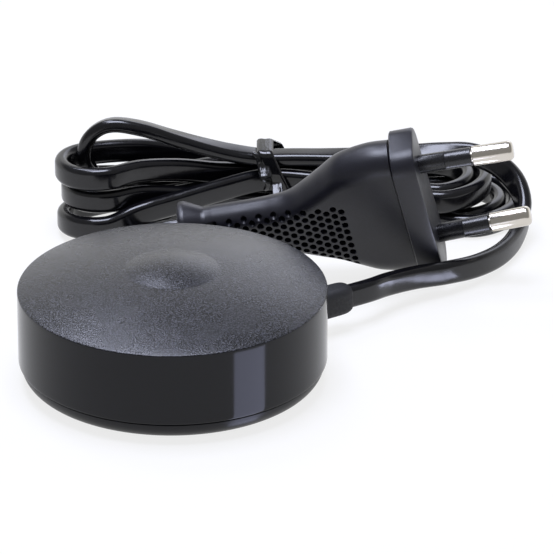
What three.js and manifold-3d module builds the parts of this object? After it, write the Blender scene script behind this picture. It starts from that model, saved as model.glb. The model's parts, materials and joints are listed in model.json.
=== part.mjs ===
// Round inductive charging base in black plastic, with its flat mains cord tied in a hank and a two-pin plug.
// Lengths are millimetres, +Z is up, and the origin is the centre of the foot that the base stands on.
import * as THREE from "three";
import { mergeVertices } from "three/addons/utils/BufferGeometryUtils.js";
import Module from "manifold-3d";

const wasm = await Module();
wasm.setup();

// Shared by all pieces
const fit = 0.3; // clearance between pieces that seat on each other
const overrun = 1; // how far a cutting shape runs past the face it opens
const turnSides = 60; // facets round a large turned piece
const smallSides = 20; // facets round a small turned piece

// Case, outside
const baseRadius = 30;
const caseWall = 2.2;
const floorBottom = 0.5; // underside of the lower case, which the foot ring holds off the table
const floorThickness = 2;
const lipInset = 0.5; // from the side wall in to the lower case's lip
const lipTop = 4;
const curlReach = 4; // from the lip in to where the lower case starts to curl upwards
const seam = 0.4; // shadow line between the two halves
const rimHeight = 19; // where the side meets the crowned top
const rimRound = 0.7;
const crownRise = 4.4;
const bumpRadius = 9.1;
const bumpRise = 1.1;
const arcSteps = 6;
const crownSteps = 6;

// Case, joint between the halves
const spigotWall = 1.4;
const spigotTop = 11;
const sealHeight = 1;
const ribHeight = 1.2;
const ribDepth = 1.5;

// Underside
const footRingInset = 2; // from where the lower case curls in to the foot ring
const footRingWidth = 3;
const footRingHeight = 1.2;
const plateInset = 4.5; // from the foot ring in to the rating plate
const plateThickness = 0.4;

// Cord gland, on a line that leaves the case at this heading
const glandHeading = 33;
const glandHeight = 6.6; // height of its centre line
const glandReach = 10.8; // from the case's side to its end
const glandWide = 5;
const glandTall = 6;
const glandNeckWide = 4.2;
const glandNeckTall = 5.2;
const glandCollarWide = 6.4;
const glandCollarTall = 7;
const glandCollarLength = 2.5;
const glandCorner = 1.6;
const glandNose = 1; // length of its rounded end

// Circuit board and what it carries
const boardClearance = 2.7; // from the spigot to the board's edge
const boardThickness = 1.6;
const boardBottom = 5.2;
const boardNotchShare = 0.7; // how far the notch for the cord reaches in, of the ring round the coil
const boardNotchWidth = 11;
const screwAngles = [85, 187, 290];
const screwInset = 3.4; // from the board's edge to the middle of its screws
const screwHeadRadius = 2;
const screwHeadHeight = 1.3;
const screwShankRadius = 0.9;
const postRadius = 2.8;
const postFloor = 0.4; // solid left under each screw's hole
const bobbinShare = 0.49; // of the board's radius
const bobbinHubShare = 0.48; // of the bobbin's radius
const bobbinWall = 1;
const windingInset = 1.1; // from the bobbin's edge in to the winding
const coreShare = 0.65; // of the bobbin's hub
const coreProud = 0.6; // the core stands this far above its bobbin
const roofGap = 2.1; // between the core and the inside of the crown
const clampLength = 3;
const clampWidth = 10;
const clampHeight = 6;
const clampSlotWidth = 6.4;
const clampSlotHeight = 2.6; // from the clamp's foot to the bottom of its slot
const clampPlaceShare = 0.65; // of the case's radius
const wireRadius = 0.8;
const wireSpacing = 3;
const wireSteps = 16; // lengths that a wire is made of

// Plug
const flangeTall = 35.3;
const flangeDeep = 13.7;
const flangeThick = 5;
const flangeCorner = 4.6;
const pinLength = 19;
const pinRadius = 2;
const pinTipRound = 0.8;
const pinBaseSpacing = 18.6;
const pinTipSpacing = 17.5;
const sleeveRadius = 1.9;
const sleeveWall = 0.4;
const sleeveLength = 10.5;
const sleeveRoot = 2; // how deep a sleeve sits in the flange
const pinRoot = 4; // how deep a pin sits in the body behind the flange
const plugPlace = [50.6, 42.5, 18.5]; // centre of the face that meets the socket
const plugHeading = -3.7;
const plugPitch = 12.6;
const plugLean = 16.7;
const bodyHalfThick = 5;
const collarRadius = 4.9;
const collarLength = 4.2;
const collarEndShare = 0.9; // of the collar's radius
const neckShare = 0.74; // of the collar's radius
const bodyLength = 45.5; // from the flange to the collar's end

// Cord: a flat twin cord, with its routes chosen by hand
const cordWide = 4.8;
const cordThick = 2.8;
const cordCorner = 1;
const cordGap = 0.3; // between the cord and what it meets face to face
const leadSteps = 44; // lengths that the lead's tube is made of

// Tie round the hank
const tieWidth = 3;
const tieThickness = 0.5;
const tieEase = 0.85; // between the tie and the strands inside it
const tieSlope = 0.45; // how far the tie moves towards the plug for each length that it goes down

const radians = THREE.MathUtils.degToRad;

// Turns a closed geometry into a solid that can be cut or joined.
function solidOf(geometry) {
  const bare = geometry.clone();
  bare.deleteAttribute("normal");
  bare.deleteAttribute("uv");
  const merged = mergeVertices(bare, 1e-4);
  const vertProperties = new Float32Array(merged.attributes.position.array);
  const triVerts = new Uint32Array(merged.index.array);
  return new wasm.Manifold(new wasm.Mesh({ numProp: 3, vertProperties, triVerts }));
}

// Turns a solid back into a geometry.
function geometryOf(solid) {
  const mesh = solid.getMesh();
  const geometry = new THREE.BufferGeometry();
  geometry.setAttribute("position", new THREE.BufferAttribute(new Float32Array(mesh.vertProperties), 3));
  geometry.setIndex(new THREE.BufferAttribute(new Uint32Array(mesh.triVerts), 1));
  geometry.computeVertexNormals();
  return geometry;
}

function cut(geometry, ...tools) {
  const solid = tools.reduce((rest, tool) => rest.subtract(solidOf(tool)), solidOf(geometry));
  return geometryOf(solid);
}

function join(geometry, ...others) {
  const solid = others.reduce((whole, other) => whole.add(solidOf(other)), solidOf(geometry));
  return geometryOf(solid);
}

// A turned piece from [radius, height] points, about the Z axis. The points run anticlockwise.
function turned(points, sides = turnSides) {
  const outline = points.map(([radius, height]) => new THREE.Vector2(radius, height));
  return new THREE.LatheGeometry(outline, sides).rotateX(Math.PI / 2);
}

// A turned ring from its inner and outer radius and its two heights.
function ring(inner, outer, bottom, top, sides = turnSides) {
  return turned([[inner, bottom], [outer, bottom], [outer, top], [inner, top], [inner, bottom]], sides);
}

// A turned rod from its radius and its two heights.
function rod(radius, bottom, top, sides = smallSides) {
  return turned([[0, bottom], [radius, bottom], [radius, top], [0, top]], sides);
}

function block(length, width, height) {
  return new THREE.BoxGeometry(length, width, height);
}

// Points of a rounded rectangle of half sizes a and b, anticlockwise.
function roundedRectangle(a, b, corner, cornerSteps = 3) {
  const r = Math.min(corner, a, b);
  const centres = [[a - r, b - r], [r - a, b - r], [r - a, r - b], [a - r, r - b]];
  const points = [];
  centres.forEach(([x, y], quarter) => {
    for (let step = 0; step <= cornerSteps; step += 1) {
      const angle = (quarter + step / cornerSteps) * (Math.PI / 2);
      points.push([x + r * Math.cos(angle), y + r * Math.sin(angle)]);
    }
  });
  return points;
}

// A closed skin over rings of equal count. The rings run anticlockwise seen from the last one.
function skin(rings) {
  const sides = rings[0].length;
  const positions = rings.flat().flatMap((point) => [point.x, point.y, point.z]);
  const index = [];
  for (let row = 0; row + 1 < rings.length; row += 1) {
    for (let side = 0; side < sides; side += 1) {
      const a = row * sides + side;
      const b = row * sides + ((side + 1) % sides);
      index.push(a, b, b + sides, a, b + sides, a + sides);
    }
  }
  const last = (rings.length - 1) * sides;
  for (let side = 1; side + 1 < sides; side += 1) {
    index.push(0, side + 1, side, last, last + side, last + side + 1);
  }
  const geometry = new THREE.BufferGeometry();
  geometry.setAttribute("position", new THREE.Float32BufferAttribute(positions, 3));
  geometry.setIndex(index);
  geometry.computeVertexNormals();
  return geometry;
}

// A body along the X axis through sections { at, wide, tall, corner, lift }, in order of rising at.
function lofted(sections, cornerSteps = 3) {
  return skin(sections.map(({ at, wide, tall, corner, lift = 0 }) =>
    roundedRectangle(wide / 2, tall / 2, corner, cornerSteps)
      .map(([y, z]) => new THREE.Vector3(at, y, z + lift))));
}

// The crowned top: a shallow sphere with a low cap in the middle.
const crownRadius = (baseRadius ** 2 + crownRise ** 2) / (2 * crownRise);
function crownHeight(radius) {
  const sphere = Math.sqrt(crownRadius ** 2 - radius ** 2) - crownRadius + crownRise;
  return rimHeight + sphere;
}

function capHeight(radius) {
  return bumpRise * Math.max(0, 1 - (radius / bumpRadius) ** 2);
}

function crownPoints(outer, drop, rise) {
  const points = [];
  for (let step = 0; step < crownSteps; step += 1) {
    const radius = outer + (bumpRadius - outer) * (step / crownSteps);
    points.push([radius, crownHeight(radius) - drop]);
  }
  for (let step = 0; step <= arcSteps; step += 1) {
    const radius = bumpRadius * (1 - step / arcSteps);
    points.push([radius, crownHeight(radius) + rise(radius) - drop]);
  }
  return points;
}

// A cutter along the gland's line, from one distance from the axis to another.
function alongGland(from, to, wide, tall, corner) {
  const sections = [from, to].map((at) => ({ at, wide, tall, corner }));
  const cutter = lofted(sections);
  return cutter.translate(0, 0, glandHeight).rotateZ(radians(glandHeading));
}

const wallInner = baseRadius - caseWall;
const spigotOuter = wallInner - fit;
const spigotInner = spigotOuter - spigotWall;
const lipRadius = baseRadius - lipInset;
const footRadius = lipRadius - curlReach;
const footRingOuter = footRadius - footRingInset;
const footRingInner = footRingOuter - footRingWidth;
const plateRadius = footRingInner - plateInset;
const floorTop = floorBottom + floorThickness;
const glandEnd = baseRadius + glandReach;
// Where the gland's collar meets the spigot
const glandSeat = Math.sqrt(spigotInner ** 2 - (glandCollarWide / 2) ** 2) - fit;

// The opening that the gland's neck goes through
function neckCutter() {
  const wide = glandNeckWide + 2 * fit;
  const tall = glandNeckTall + 2 * fit;
  return alongGland(spigotInner - overrun, baseRadius + overrun, wide, tall, glandCorner + fit);
}

function upperCase() {
  const bottom = lipTop + seam;
  const ribBottom = spigotTop + sealHeight + 2 * fit;
  const ribTop = ribBottom + ribHeight;
  const ribInner = wallInner - ribDepth;
  const rimCentre = [baseRadius - rimRound, rimHeight - rimRound / 2];
  const rim = [];
  for (let step = 0; step <= arcSteps / 2; step += 1) {
    const angle = (step / (arcSteps / 2)) * (Math.PI / 2);
    rim.push([rimCentre[0] + rimRound * Math.cos(angle), rimCentre[1] + (rimRound / 2) * Math.sin(angle)]);
  }
  const outside = [...rim, ...crownPoints(baseRadius - 2 * rimRound, 0, capHeight)];
  const inside = crownPoints(wallInner, caseWall, () => 0).reverse();
  const wall = [
    [wallInner, ribTop], [ribInner, ribTop], [ribInner, ribBottom], [wallInner, ribBottom],
    [wallInner, bottom], [baseRadius, bottom],
  ];
  const shell = turned([...inside, ...wall, ...outside]);
  return cut(shell, neckCutter());
}

// The board, and the coil that stands in its middle
const boardRadius = spigotInner - boardClearance;
const bobbinRadius = boardRadius * bobbinShare;
const bobbinHub = bobbinRadius * bobbinHubShare;
const coreRadius = bobbinHub * coreShare;
const ringWidth = boardRadius - bobbinRadius;
const boardNotchDepth = ringWidth * boardNotchShare;
const screwCircle = boardRadius - screwInset;
const deck = boardBottom + boardThickness + fit; // where the pieces on the board stand
const bobbinHeight = rimHeight + crownRise - caseWall - roofGap - coreProud - deck;
const screwTip = floorTop + postFloor + fit;

function screwPosts() {
  return screwAngles.map((angle) => rod(postRadius, floorTop - overrun, boardBottom - fit)
    .translate(screwCircle * Math.cos(radians(angle)), screwCircle * Math.sin(radians(angle)), 0));
}

function screwHoles(radius, bottom, top) {
  return screwAngles.map((angle) => rod(radius, bottom, top)
    .translate(screwCircle * Math.cos(radians(angle)), screwCircle * Math.sin(radians(angle)), 0));
}

function lowerCase() {
  const plateRoof = floorBottom + plateThickness + fit;
  const grooveRoof = footRingHeight + fit;
  const curl = [];
  for (let step = 0; step <= arcSteps; step += 1) {
    const angle = (step / arcSteps) * (Math.PI / 2);
    curl.push([
      footRadius + (lipRadius - footRadius) * Math.sin(angle),
      lipTop - (lipTop - floorBottom) * Math.cos(angle),
    ]);
  }
  const shell = turned([
    [0, plateRoof], [plateRadius + fit, plateRoof], [plateRadius + fit, floorBottom],
    [footRingInner - fit, floorBottom], [footRingInner - fit, grooveRoof],
    [footRingOuter + fit, grooveRoof], [footRingOuter + fit, floorBottom],
    ...curl, [spigotOuter, lipTop], [spigotOuter, spigotTop], [spigotInner, spigotTop],
    [spigotInner, floorTop], [0, floorTop],
  ]);
  const posted = join(shell, ...screwPosts());
  const holes = screwHoles(screwShankRadius + fit, floorTop + postFloor, boardBottom + overrun);
  return cut(posted, neckCutter(), ...holes);
}

function glandBody() {
  const collar = { wide: glandCollarWide, tall: glandCollarTall, corner: glandCorner };
  const neck = { wide: glandNeckWide, tall: glandNeckTall, corner: glandCorner };
  const boot = { wide: glandWide, tall: glandTall, corner: glandCorner };
  const collarEnd = glandSeat;
  const neckEnd = baseRadius + fit;
  return lofted([
    { at: collarEnd - glandCollarLength, ...collar }, { at: collarEnd, ...collar },
    { at: collarEnd, ...neck }, { at: neckEnd, ...neck },
    { at: neckEnd, ...boot }, { at: glandEnd - glandNose, ...boot }, { at: glandEnd, ...neck },
  ]);
}

function circuitBoard() {
  const disc = rod(boardRadius, boardBottom, boardBottom + boardThickness, turnSides);
  const notch = block(boardNotchDepth + overrun, boardNotchWidth, boardThickness + 2 * overrun);
  const notchCentre = boardRadius + (overrun - boardNotchDepth) / 2;
  notch.translate(notchCentre, 0, boardBottom + boardThickness / 2).rotateZ(radians(glandHeading));
  const holes = screwHoles(screwShankRadius + fit, boardBottom - overrun, deck + overrun);
  return cut(disc, notch, ...holes);
}

function boardScrew() {
  return turned([
    [0, screwTip], [screwShankRadius, screwTip], [screwShankRadius, deck], [screwHeadRadius, deck],
    [screwHeadRadius, deck + screwHeadHeight / 2], [screwHeadRadius / 2, deck + screwHeadHeight],
    [0, deck + screwHeadHeight],
  ], smallSides);
}

function bobbin() {
  const bore = coreRadius + fit;
  const top = deck + bobbinHeight;
  return turned([
    [bore, deck], [bobbinRadius, deck], [bobbinRadius, deck + bobbinWall], [bobbinHub, deck + bobbinWall],
    [bobbinHub, top - bobbinWall], [bobbinRadius, top - bobbinWall], [bobbinRadius, top],
    [bore, top], [bore, deck],
  ], turnSides / 2);
}

function winding() {
  const bottom = deck + bobbinWall + fit;
  const top = deck + bobbinHeight - bobbinWall - fit;
  return ring(bobbinHub + fit, bobbinRadius - windingInset, bottom, top, turnSides / 2);
}

function core() {
  return rod(coreRadius, deck, deck + bobbinHeight + coreProud);
}

// A round wire that runs from the gland's inner end down to the board, on one side of the gland's line.
function supplyWire(side) {
  const offset = (side * wireSpacing) / 2;
  const start = glandSeat - glandCollarLength - fit;
  const landing = boardRadius - boardNotchDepth - 2 * wireRadius;
  const middle = (start + landing) / 2;
  const route = new THREE.CatmullRomCurve3([
    new THREE.Vector3(start, offset, glandHeight),
    new THREE.Vector3(start - wireRadius, offset, glandHeight),
    new THREE.Vector3(middle + wireRadius, offset, deck + 2 * wireRadius),
    new THREE.Vector3(middle - wireRadius, offset, deck + 3 * wireRadius),
    new THREE.Vector3(landing, offset, deck + 2 * wireRadius),
    new THREE.Vector3(landing, offset, deck),
  ]);
  const section = new THREE.Shape().absarc(0, 0, wireRadius, 0, 2 * Math.PI);
  const settings = { steps: wireSteps, curveSegments: wireSteps / 2, extrudePath: route };
  return new THREE.ExtrudeGeometry(section, settings);
}

function cordClamp() {
  const body = block(clampLength, clampWidth, clampHeight).translate(0, 0, clampHeight / 2);
  const slotHeight = clampHeight - clampSlotHeight + overrun;
  const slot = block(clampLength + 2 * overrun, clampSlotWidth, slotHeight);
  slot.translate(0, 0, clampSlotHeight + slotHeight / 2);
  return cut(body, slot);
}

// The plug's parts are made with the pins along +X and the socket's face at zero.
function pinTilt() {
  return Math.atan((pinBaseSpacing - pinTipSpacing) / 2 / pinLength);
}

function onPin(geometry, side) {
  geometry.rotateY(Math.PI / 2);
  return geometry.rotateY(side * pinTilt()).translate(0, 0, (side * pinBaseSpacing) / 2);
}

const pinCore = sleeveRadius - sleeveWall - fit;

function pin(side) {
  const rear = -flangeThick - fit - pinRoot;
  const shoulder = sleeveLength + fit;
  return onPin(turned([
    [0, rear], [pinCore, rear], [pinCore, shoulder], [pinRadius, shoulder],
    [pinRadius, pinLength - pinTipRound], [pinRadius - pinTipRound / 4, pinLength - pinTipRound / 3],
    [pinRadius - pinTipRound, pinLength], [0, pinLength],
  ], smallSides), side);
}

function sleeve(side) {
  return onPin(ring(sleeveRadius - sleeveWall, sleeveRadius, -sleeveRoot, sleeveLength, smallSides), side);
}

function plugFlange() {
  const section = { wide: flangeDeep, tall: flangeTall, corner: flangeCorner };
  const plate = lofted([{ at: -flangeThick, ...section }, { at: 0, ...section }], 5);
  const cutters = [1, -1].flatMap((side) => [
    onPin(rod(sleeveRadius + fit, -sleeveRoot - fit, overrun), side),
    onPin(rod(pinCore + fit, -flangeThick - overrun, overrun), side),
  ]);
  return cut(plate, ...cutters);
}

// Half the height of the body, and how far its middle line rises, as shares of the flange's half height,
// each at a share of the body's length behind the flange.
const bodyShares = [
  [0, 0.9, 0], [0.08, 0.885, 0], [0.165, 0.83, 0], [0.24, 0.72, 0], [0.325, 0.59, 0], [0.4, 0.5, 0],
  [0.48, 0.42, 0.01], [0.57, 0.345, 0.04], [0.66, 0.28, 0.1], [0.75, 0.235, 0.155], [0.84, 0.21, 0.18],
];

function plugBody() {
  const half = flangeTall / 2;
  const front = -flangeThick - fit;
  const neck = collarRadius * neckShare;
  const sections = bodyShares.map(([place, tallShare, liftShare]) => {
    const taper = THREE.MathUtils.smoothstep(place, 0, bodyShares.at(-1)[0]);
    const thick = 2 * THREE.MathUtils.lerp(bodyHalfThick, neck, taper);
    return {
      at: front - place * bodyLength, wide: thick, tall: 2 * half * tallShare, corner: thick / 2,
      lift: half * liftShare,
    };
  });
  const lift = sections.at(-1).lift;
  const collarStart = front - bodyLength + collarLength;
  const round = (at, radius) => ({ at, wide: 2 * radius, tall: 2 * radius, corner: radius, lift });
  const tail = [
    round(collarStart + collarLength / 4, neck), round(collarStart, collarRadius),
    round(front - bodyLength + collarLength / 4, collarRadius),
    round(front - bodyLength, collarRadius * collarEndShare),
  ];
  const body = lofted([...sections, ...tail].reverse(), 4);
  const pockets = [1, -1].map((side) => onPin(
    rod(pinCore + fit, front - pinRoot - fit, front + overrun), side));
  return cut(body, ...pockets);
}

// A curve whose section keeps its wide side upright, leaned over by an angle given at each point.
class FlatCordPath extends THREE.CatmullRomCurve3 {
  constructor(rows) {
    super(rows.map(([x, y, z]) => new THREE.Vector3(x, y, z)));
    this.leans = rows.map((row) => radians(row[3]));
  }

  // The curve's places and the section's two directions, turned no further than needed from one to the next.
  framesAt(places) {
    let last = null;
    return places.map((t) => {
      const tangent = this.getTangent(t);
      const side = new THREE.Vector3(tangent.y, -tangent.x, 0).normalize();
      const up = side.clone().cross(tangent);
      const row = t * (this.leans.length - 1);
      const before = Math.min(Math.floor(row), this.leans.length - 2);
      const lean = THREE.MathUtils.lerp(this.leans[before], this.leans[before + 1], row - before);
      const wide = up.multiplyScalar(Math.cos(lean)).addScaledVector(side, Math.sin(lean));
      if (last && last.dot(wide) < 0) wide.negate();
      last = wide;
      return { centre: this.getPoint(t), tangent, wide, thin: wide.clone().cross(tangent) };
    });
  }

  computeFrenetFrames(steps) {
    const places = Array.from({ length: steps + 1 }, (_, step) => this.getUtoTmapping(step / steps));
    const frames = this.framesAt(places);
    return {
      tangents: frames.map((frame) => frame.tangent),
      normals: frames.map((frame) => frame.thin),
      binormals: frames.map((frame) => frame.wide),
    };
  }
}

// Where the strands pass the tie: two rows of four upright strands, with one laid flat on top of them.
const tieX = 17.5;
const waistRows = [3.3, 8.7];
const waistColumns = [73.2, 76.7, 80.2, 83.7];
const waistTop = [tieX, 75, 13.1, 90];
const foldRows = [2.5, 7.9];

// The lead from the gland, round the hank's right end and back over the top of it. Rows are x, y, z and lean.
const glandAway = new THREE.Vector2(Math.cos(radians(glandHeading)), Math.sin(radians(glandHeading)));
const leadStart = [1, 2].map((step) => {
  const reach = glandEnd + cordGap + (step - 1) * cordWide;
  return [reach * glandAway.x, reach * glandAway.y, glandHeight, 0];
});
const leadRoute = [
  ...leadStart, [42.3, 29.4, 5.9, 0], [47.8, 33.7, 5.3, 0], [54.3, 37.5, 4.6, 0], [60.4, 42.9, 3.6, 0],
  [65.6, 50.2, 2.9, 0], [69, 58.2, 3.3, 0], [70.6, 64.4, 6.2, 8], [69, 69, 10, 15], [65.2, 71.2, 13.2, 25],
  [59.9, 72.1, 15, 35], [54.3, 73, 14.8, 50], [48, 73.7, 14.2, 64], [43.2, 74.05, 13.75, 71],
];
const hankStart = [
  [42.9, 74.07, 13.72, 71.5], [38.1, 74.35, 13.4, 78], [30, 74.8, 13.15, 88], [24, 75, 13.1, 90],
];

// Heights and places of the strands left of the tie, at three stations. Rows are y and z.
const laneStations = [8, 0, -8];
const lanes = {
  topFront: [[74.2, 9.9], [70.8, 12.1], [65.8, 14]],
  topBack: [[84.2, 8.8], [82.2, 10.5], [79, 12.9]],
  lowFront: [[69, 8.2], [65, 7.4], [61.2, 6.5]],
  lowBack: [[84.6, 2.8], [83.1, 2.5], [79.4, 2.5]],
  midFront: [[72.8, 4.3], [69.4, 6.6], [65.4, 8.6]],
  midBack: [[81, 3.7], [79.2, 6.1], [76.4, 8]],
  innerBack: [[78.3, 9.3], [75.3, 9.3], [72.3, 9.4]],
};

function laneRows(name) {
  return laneStations.map((x, station) => [x, ...lanes[name][station], 0]);
}

// One fold at the hank's right end, from the back strand round to the front one, and on to the tie.
const rightFoldY = 75.5; // middle of the folds
const rightFoldBulge = 6.2; // how far a fold spreads beyond its strands, to each side
const rightFoldAngles = [80, 48, 16, -16, -48, -80];
const outShares = [0.36, 0.74]; // of the way from the tie to the fold
function rightFold(row, outer, end) {
  const backColumn = outer ? 3 : 2;
  const back = waistColumns[backColumn];
  const front = waistColumns[3 - backColumn];
  const radius = (back - front) / 2 + rightFoldBulge;
  const centreX = end - radius;
  const straight = (share, start, far) => [
    tieX + share * (centreX - tieX), start + (far - start) * share * share,
    waistRows[row] + share * (foldRows[row] - waistRows[row]), 0,
  ];
  const out = outShares.map((share) => straight(share, back, rightFoldY + radius));
  const home = [...outShares].reverse().concat(0).map((share) => straight(share, front, rightFoldY - radius));
  const turn = rightFoldAngles.map(radians).map((angle) => [
    centreX + radius * Math.cos(angle), rightFoldY + radius * Math.sin(angle), foldRows[row], 0,
  ]);
  return [...out, ...turn, ...home];
}

// One fold at the hank's left end, from the front strand round to the back one, and on to the tie.
const leftFoldRadius = 7.6;
const leftFoldAngles = [-106, -73, -40, -7, 26, 60];
function leftFold({ front, back, end, middle, heights, row, column }) {
  const turn = leftFoldAngles.map((angle, step) => [
    end + leftFoldRadius * (1 - Math.cos(radians(angle))), middle + leftFoldRadius * Math.sin(radians(angle)),
    THREE.MathUtils.lerp(heights[0], heights[1], step / (leftFoldAngles.length - 1)), 0,
  ]);
  const home = [tieX, waistColumns[column], waistRows[row], 0];
  return [...laneRows(front), ...turn, ...laneRows(back).reverse(), home];
}

// The loop that stands up at the left end, from the top strand down into the hank.
// The rows of its turn are angles and leans.
const loopRadius = 6.4;
const loopCentre = [-12.7, 70.4, 16];
const loopRise = [[11, 74.6, 14.2, 84], [5, 73.5, 16.2, 86], [-1.5, 72, 18.9, 92], [-7.3, 70.7, 21.4, 98]];
const loopTurn = [[92, 104], [118, 106], [146, 104], [174, 99], [202, 92], [232, 76], [262, 48]];
function standingLoop() {
  const turn = loopTurn.map(([angle, lean]) => [
    loopCentre[0] + loopRadius * Math.cos(radians(angle)), loopCentre[1],
    loopCentre[2] + loopRadius * Math.sin(radians(angle)), lean,
  ]);
  return [...loopRise, ...turn, ...laneRows("innerBack").reverse(), [tieX, waistColumns[2], waistRows[1], 0]];
}

// The plug's frame in the world, which the cord's end also follows.
const plugTurn = new THREE.Euler(radians(plugLean), radians(-plugPitch), radians(plugHeading), "ZYX");
const tailLift = (flangeTall / 2) * bodyShares.at(-1)[2];
function behindPlug(distance) {
  const point = new THREE.Vector3(-flangeThick - fit - bodyLength - distance, 0, tailLift);
  return point.applyEuler(plugTurn).add(new THREE.Vector3(...plugPlace)).toArray();
}

// Where the right folds end and how the left ones lie, in the order that the cord makes them
const rightEnds = [59.5, 63, 69.4, 66];
const leftFolds = [
  { front: "topFront", back: "topBack", end: -23.8, middle: 68.8, heights: [14.4, 13.5], row: 1, column: 3 },
  { front: "lowFront", back: "lowBack", end: -23.4, middle: 67, heights: [4.4, 2.5], row: 0, column: 3 },
  { front: "midFront", back: "midBack", end: -22.6, middle: 69.6, heights: [9.1, 8], row: 0, column: 2 },
];

// From the tie round to the plug
const tailLean = 12;
const tailRoute = [
  [11, 76.8, 3.1, 5], [5, 76, 2.9, 45], [-0.2, 73.6, 1.9, 80], [-4.4, 69.2, 1.6, 90], [-6.4, 63.6, 1.6, 90],
  [-7, 58.2, 2.4, 80], [-6.8, 52.8, 4.7, 50],
  [...behindPlug(cordWide), tailLean], [...behindPlug(cordGap), tailLean],
];

const hankRoute = [
  ...hankStart, waistTop, ...standingLoop(),
  ...rightFold(1, false, rightEnds[0]), ...leftFold(leftFolds[0]),
  ...rightFold(1, true, rightEnds[1]), ...leftFold(leftFolds[1]),
  ...rightFold(0, true, rightEnds[2]), ...leftFold(leftFolds[2]),
  ...rightFold(0, false, rightEnds[3]), ...tailRoute,
];

function cordLead() {
  const path = new FlatCordPath(leadRoute);
  const section = new THREE.Shape(roundedRectangle(cordThick / 2, cordWide / 2, cordCorner, 1)
    .map(([x, y]) => new THREE.Vector2(x, y)));
  return new THREE.ExtrudeGeometry(section, { steps: leadSteps, extrudePath: path });
}

// Six sides of a flat cord with round edges.
function hankSection() {
  const a = cordThick / 2;
  const b = cordWide / 2;
  return [[a, -b + a], [a, b - a], [0, b], [-a, b - a], [-a, -b + a], [0, -b]];
}

// One ring of the hank's six corners at each point of its route.
function hankFrames() {
  const last = hankRoute.length - 1;
  return new FlatCordPath(hankRoute).framesAt(hankRoute.map((_, row) => row / last));
}

function corners({ centre, thin, wide }) {
  return hankSection().map(([x, y]) => centre.clone().addScaledVector(thin, x).addScaledVector(wide, y));
}

function cordHank() {
  return skin(hankFrames().map(corners));
}

// How far a point of a section's plane lies outside the hank's six-sided section.
function outsideSection(x, y) {
  const a = cordThick / 2;
  const b = cordWide / 2;
  const nearest = (from, to) => {
    const edge = to.clone().sub(from);
    const share = THREE.MathUtils.clamp(point.clone().sub(from).dot(edge) / edge.lengthSq(), 0, 1);
    return from.clone().addScaledVector(edge, share).distanceTo(point);
  };
  const point = new THREE.Vector2(Math.abs(x), Math.abs(y));
  const knee = new THREE.Vector2(a, b - a);
  const distance = Math.min(nearest(new THREE.Vector2(a, 0), knee), nearest(knee, new THREE.Vector2(0, b)));
  return point.x < a && point.x + point.y < b ? -distance : distance;
}

// The least gap between the hank's own stretches, and its length, measured on points of its facets.
function ownGap() {
  const rings = hankFrames();
  const parts = 5;
  const mix = (a, b, share) => a.clone().lerp(b, share);
  const stations = [];
  let length = 0;
  rings.slice(1).forEach((to, row) => {
    const from = rings[row];
    for (let part = 0; part < parts; part += 1) {
      const share = part / parts;
      const thin = mix(from.thin, to.thin, share).normalize();
      const wide = mix(from.wide, to.wide, share).normalize();
      const ends = corners(to);
      stations.push({
        along: length + share * from.centre.distanceTo(to.centre), centre: mix(from.centre, to.centre, share),
        thin, wide, tangent: wide.clone().cross(thin),
        points: corners(from).map((corner, side) => mix(corner, ends[side], share)),
      });
    }
    length += from.centre.distanceTo(to.centre);
  });
  const cornersAndMiddles = ({ points }) => points.flatMap((point, side) =>
    [point, mix(point, points[(side + 1) % points.length], 1 / 2)]);
  let least = Infinity;
  stations.forEach((station) => {
    const apart = (other) => Math.abs(other.along - station.along) > 3 * cordWide;
    const near = (other) => other.centre.distanceTo(station.centre) < 2 * cordWide;
    const others = stations.filter((other) => apart(other) && near(other));
    others.flatMap(cornersAndMiddles).forEach((point) => {
      const offset = point.clone().sub(station.centre);
      if (Math.abs(offset.dot(station.tangent)) > cordThick / 4) return;
      least = Math.min(least, outsideSection(offset.dot(station.thin), offset.dot(station.wide)));
    });
  });
  return { least, length };
}

// The tie: a flat band round the strands, with a sloped shoulder up to the strand on top.
function twistTie() {
  const front = waistColumns[0] - cordThick / 2 - tieEase;
  const back = waistColumns[3] + cordThick / 2 + tieEase;
  const rowTop = waistRows[1] + cordWide / 2;
  const top = waistTop[2] + cordThick / 2 + tieEase;
  const topFront = waistTop[1] - cordWide / 2 - tieEase;
  const topBack = waistTop[1] + cordWide / 2 + tieEase;
  const bottom = tieThickness;
  const inside = [
    [front, bottom], [back, bottom], [back, rowTop], [topBack, top], [topFront, top], [front, rowTop],
  ];
  const middle = new THREE.Vector2((front + back) / 2, (bottom + top) / 2);
  const outside = inside.map(([y, z]) => [
    y + tieThickness * Math.sign(y - middle.x), z + tieThickness * Math.sign(z - middle.y),
  ]);
  const outline = new THREE.Shape(outside.map(([y, z]) => new THREE.Vector2(y, z)));
  outline.holes.push(new THREE.Path(inside.map(([y, z]) => new THREE.Vector2(y, z))));
  const band = new THREE.ExtrudeGeometry(outline, { depth: tieWidth, bevelEnabled: false });
  // The outline's first axis becomes Y, its second Z, and the band's width runs along X.
  band.applyMatrix4(new THREE.Matrix4().makeBasis(
    new THREE.Vector3(0, 1, 0), new THREE.Vector3(0, 0, 1), new THREE.Vector3(1, 0, 0)));
  band.translate(tieX - tieWidth / 2, 0, -top);
  // Slanted about its top
  band.applyMatrix4(new THREE.Matrix4().makeShear(0, 0, 0, 0, -tieSlope, 0));
  return band.translate(0, 0, top);
}

// Materials
function plastic(color, roughness) {
  return new THREE.MeshStandardMaterial({ color, roughness, metalness: 0 });
}

function metal(color, roughness) {
  return new THREE.MeshStandardMaterial({ color, roughness, metalness: 1 });
}

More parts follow.
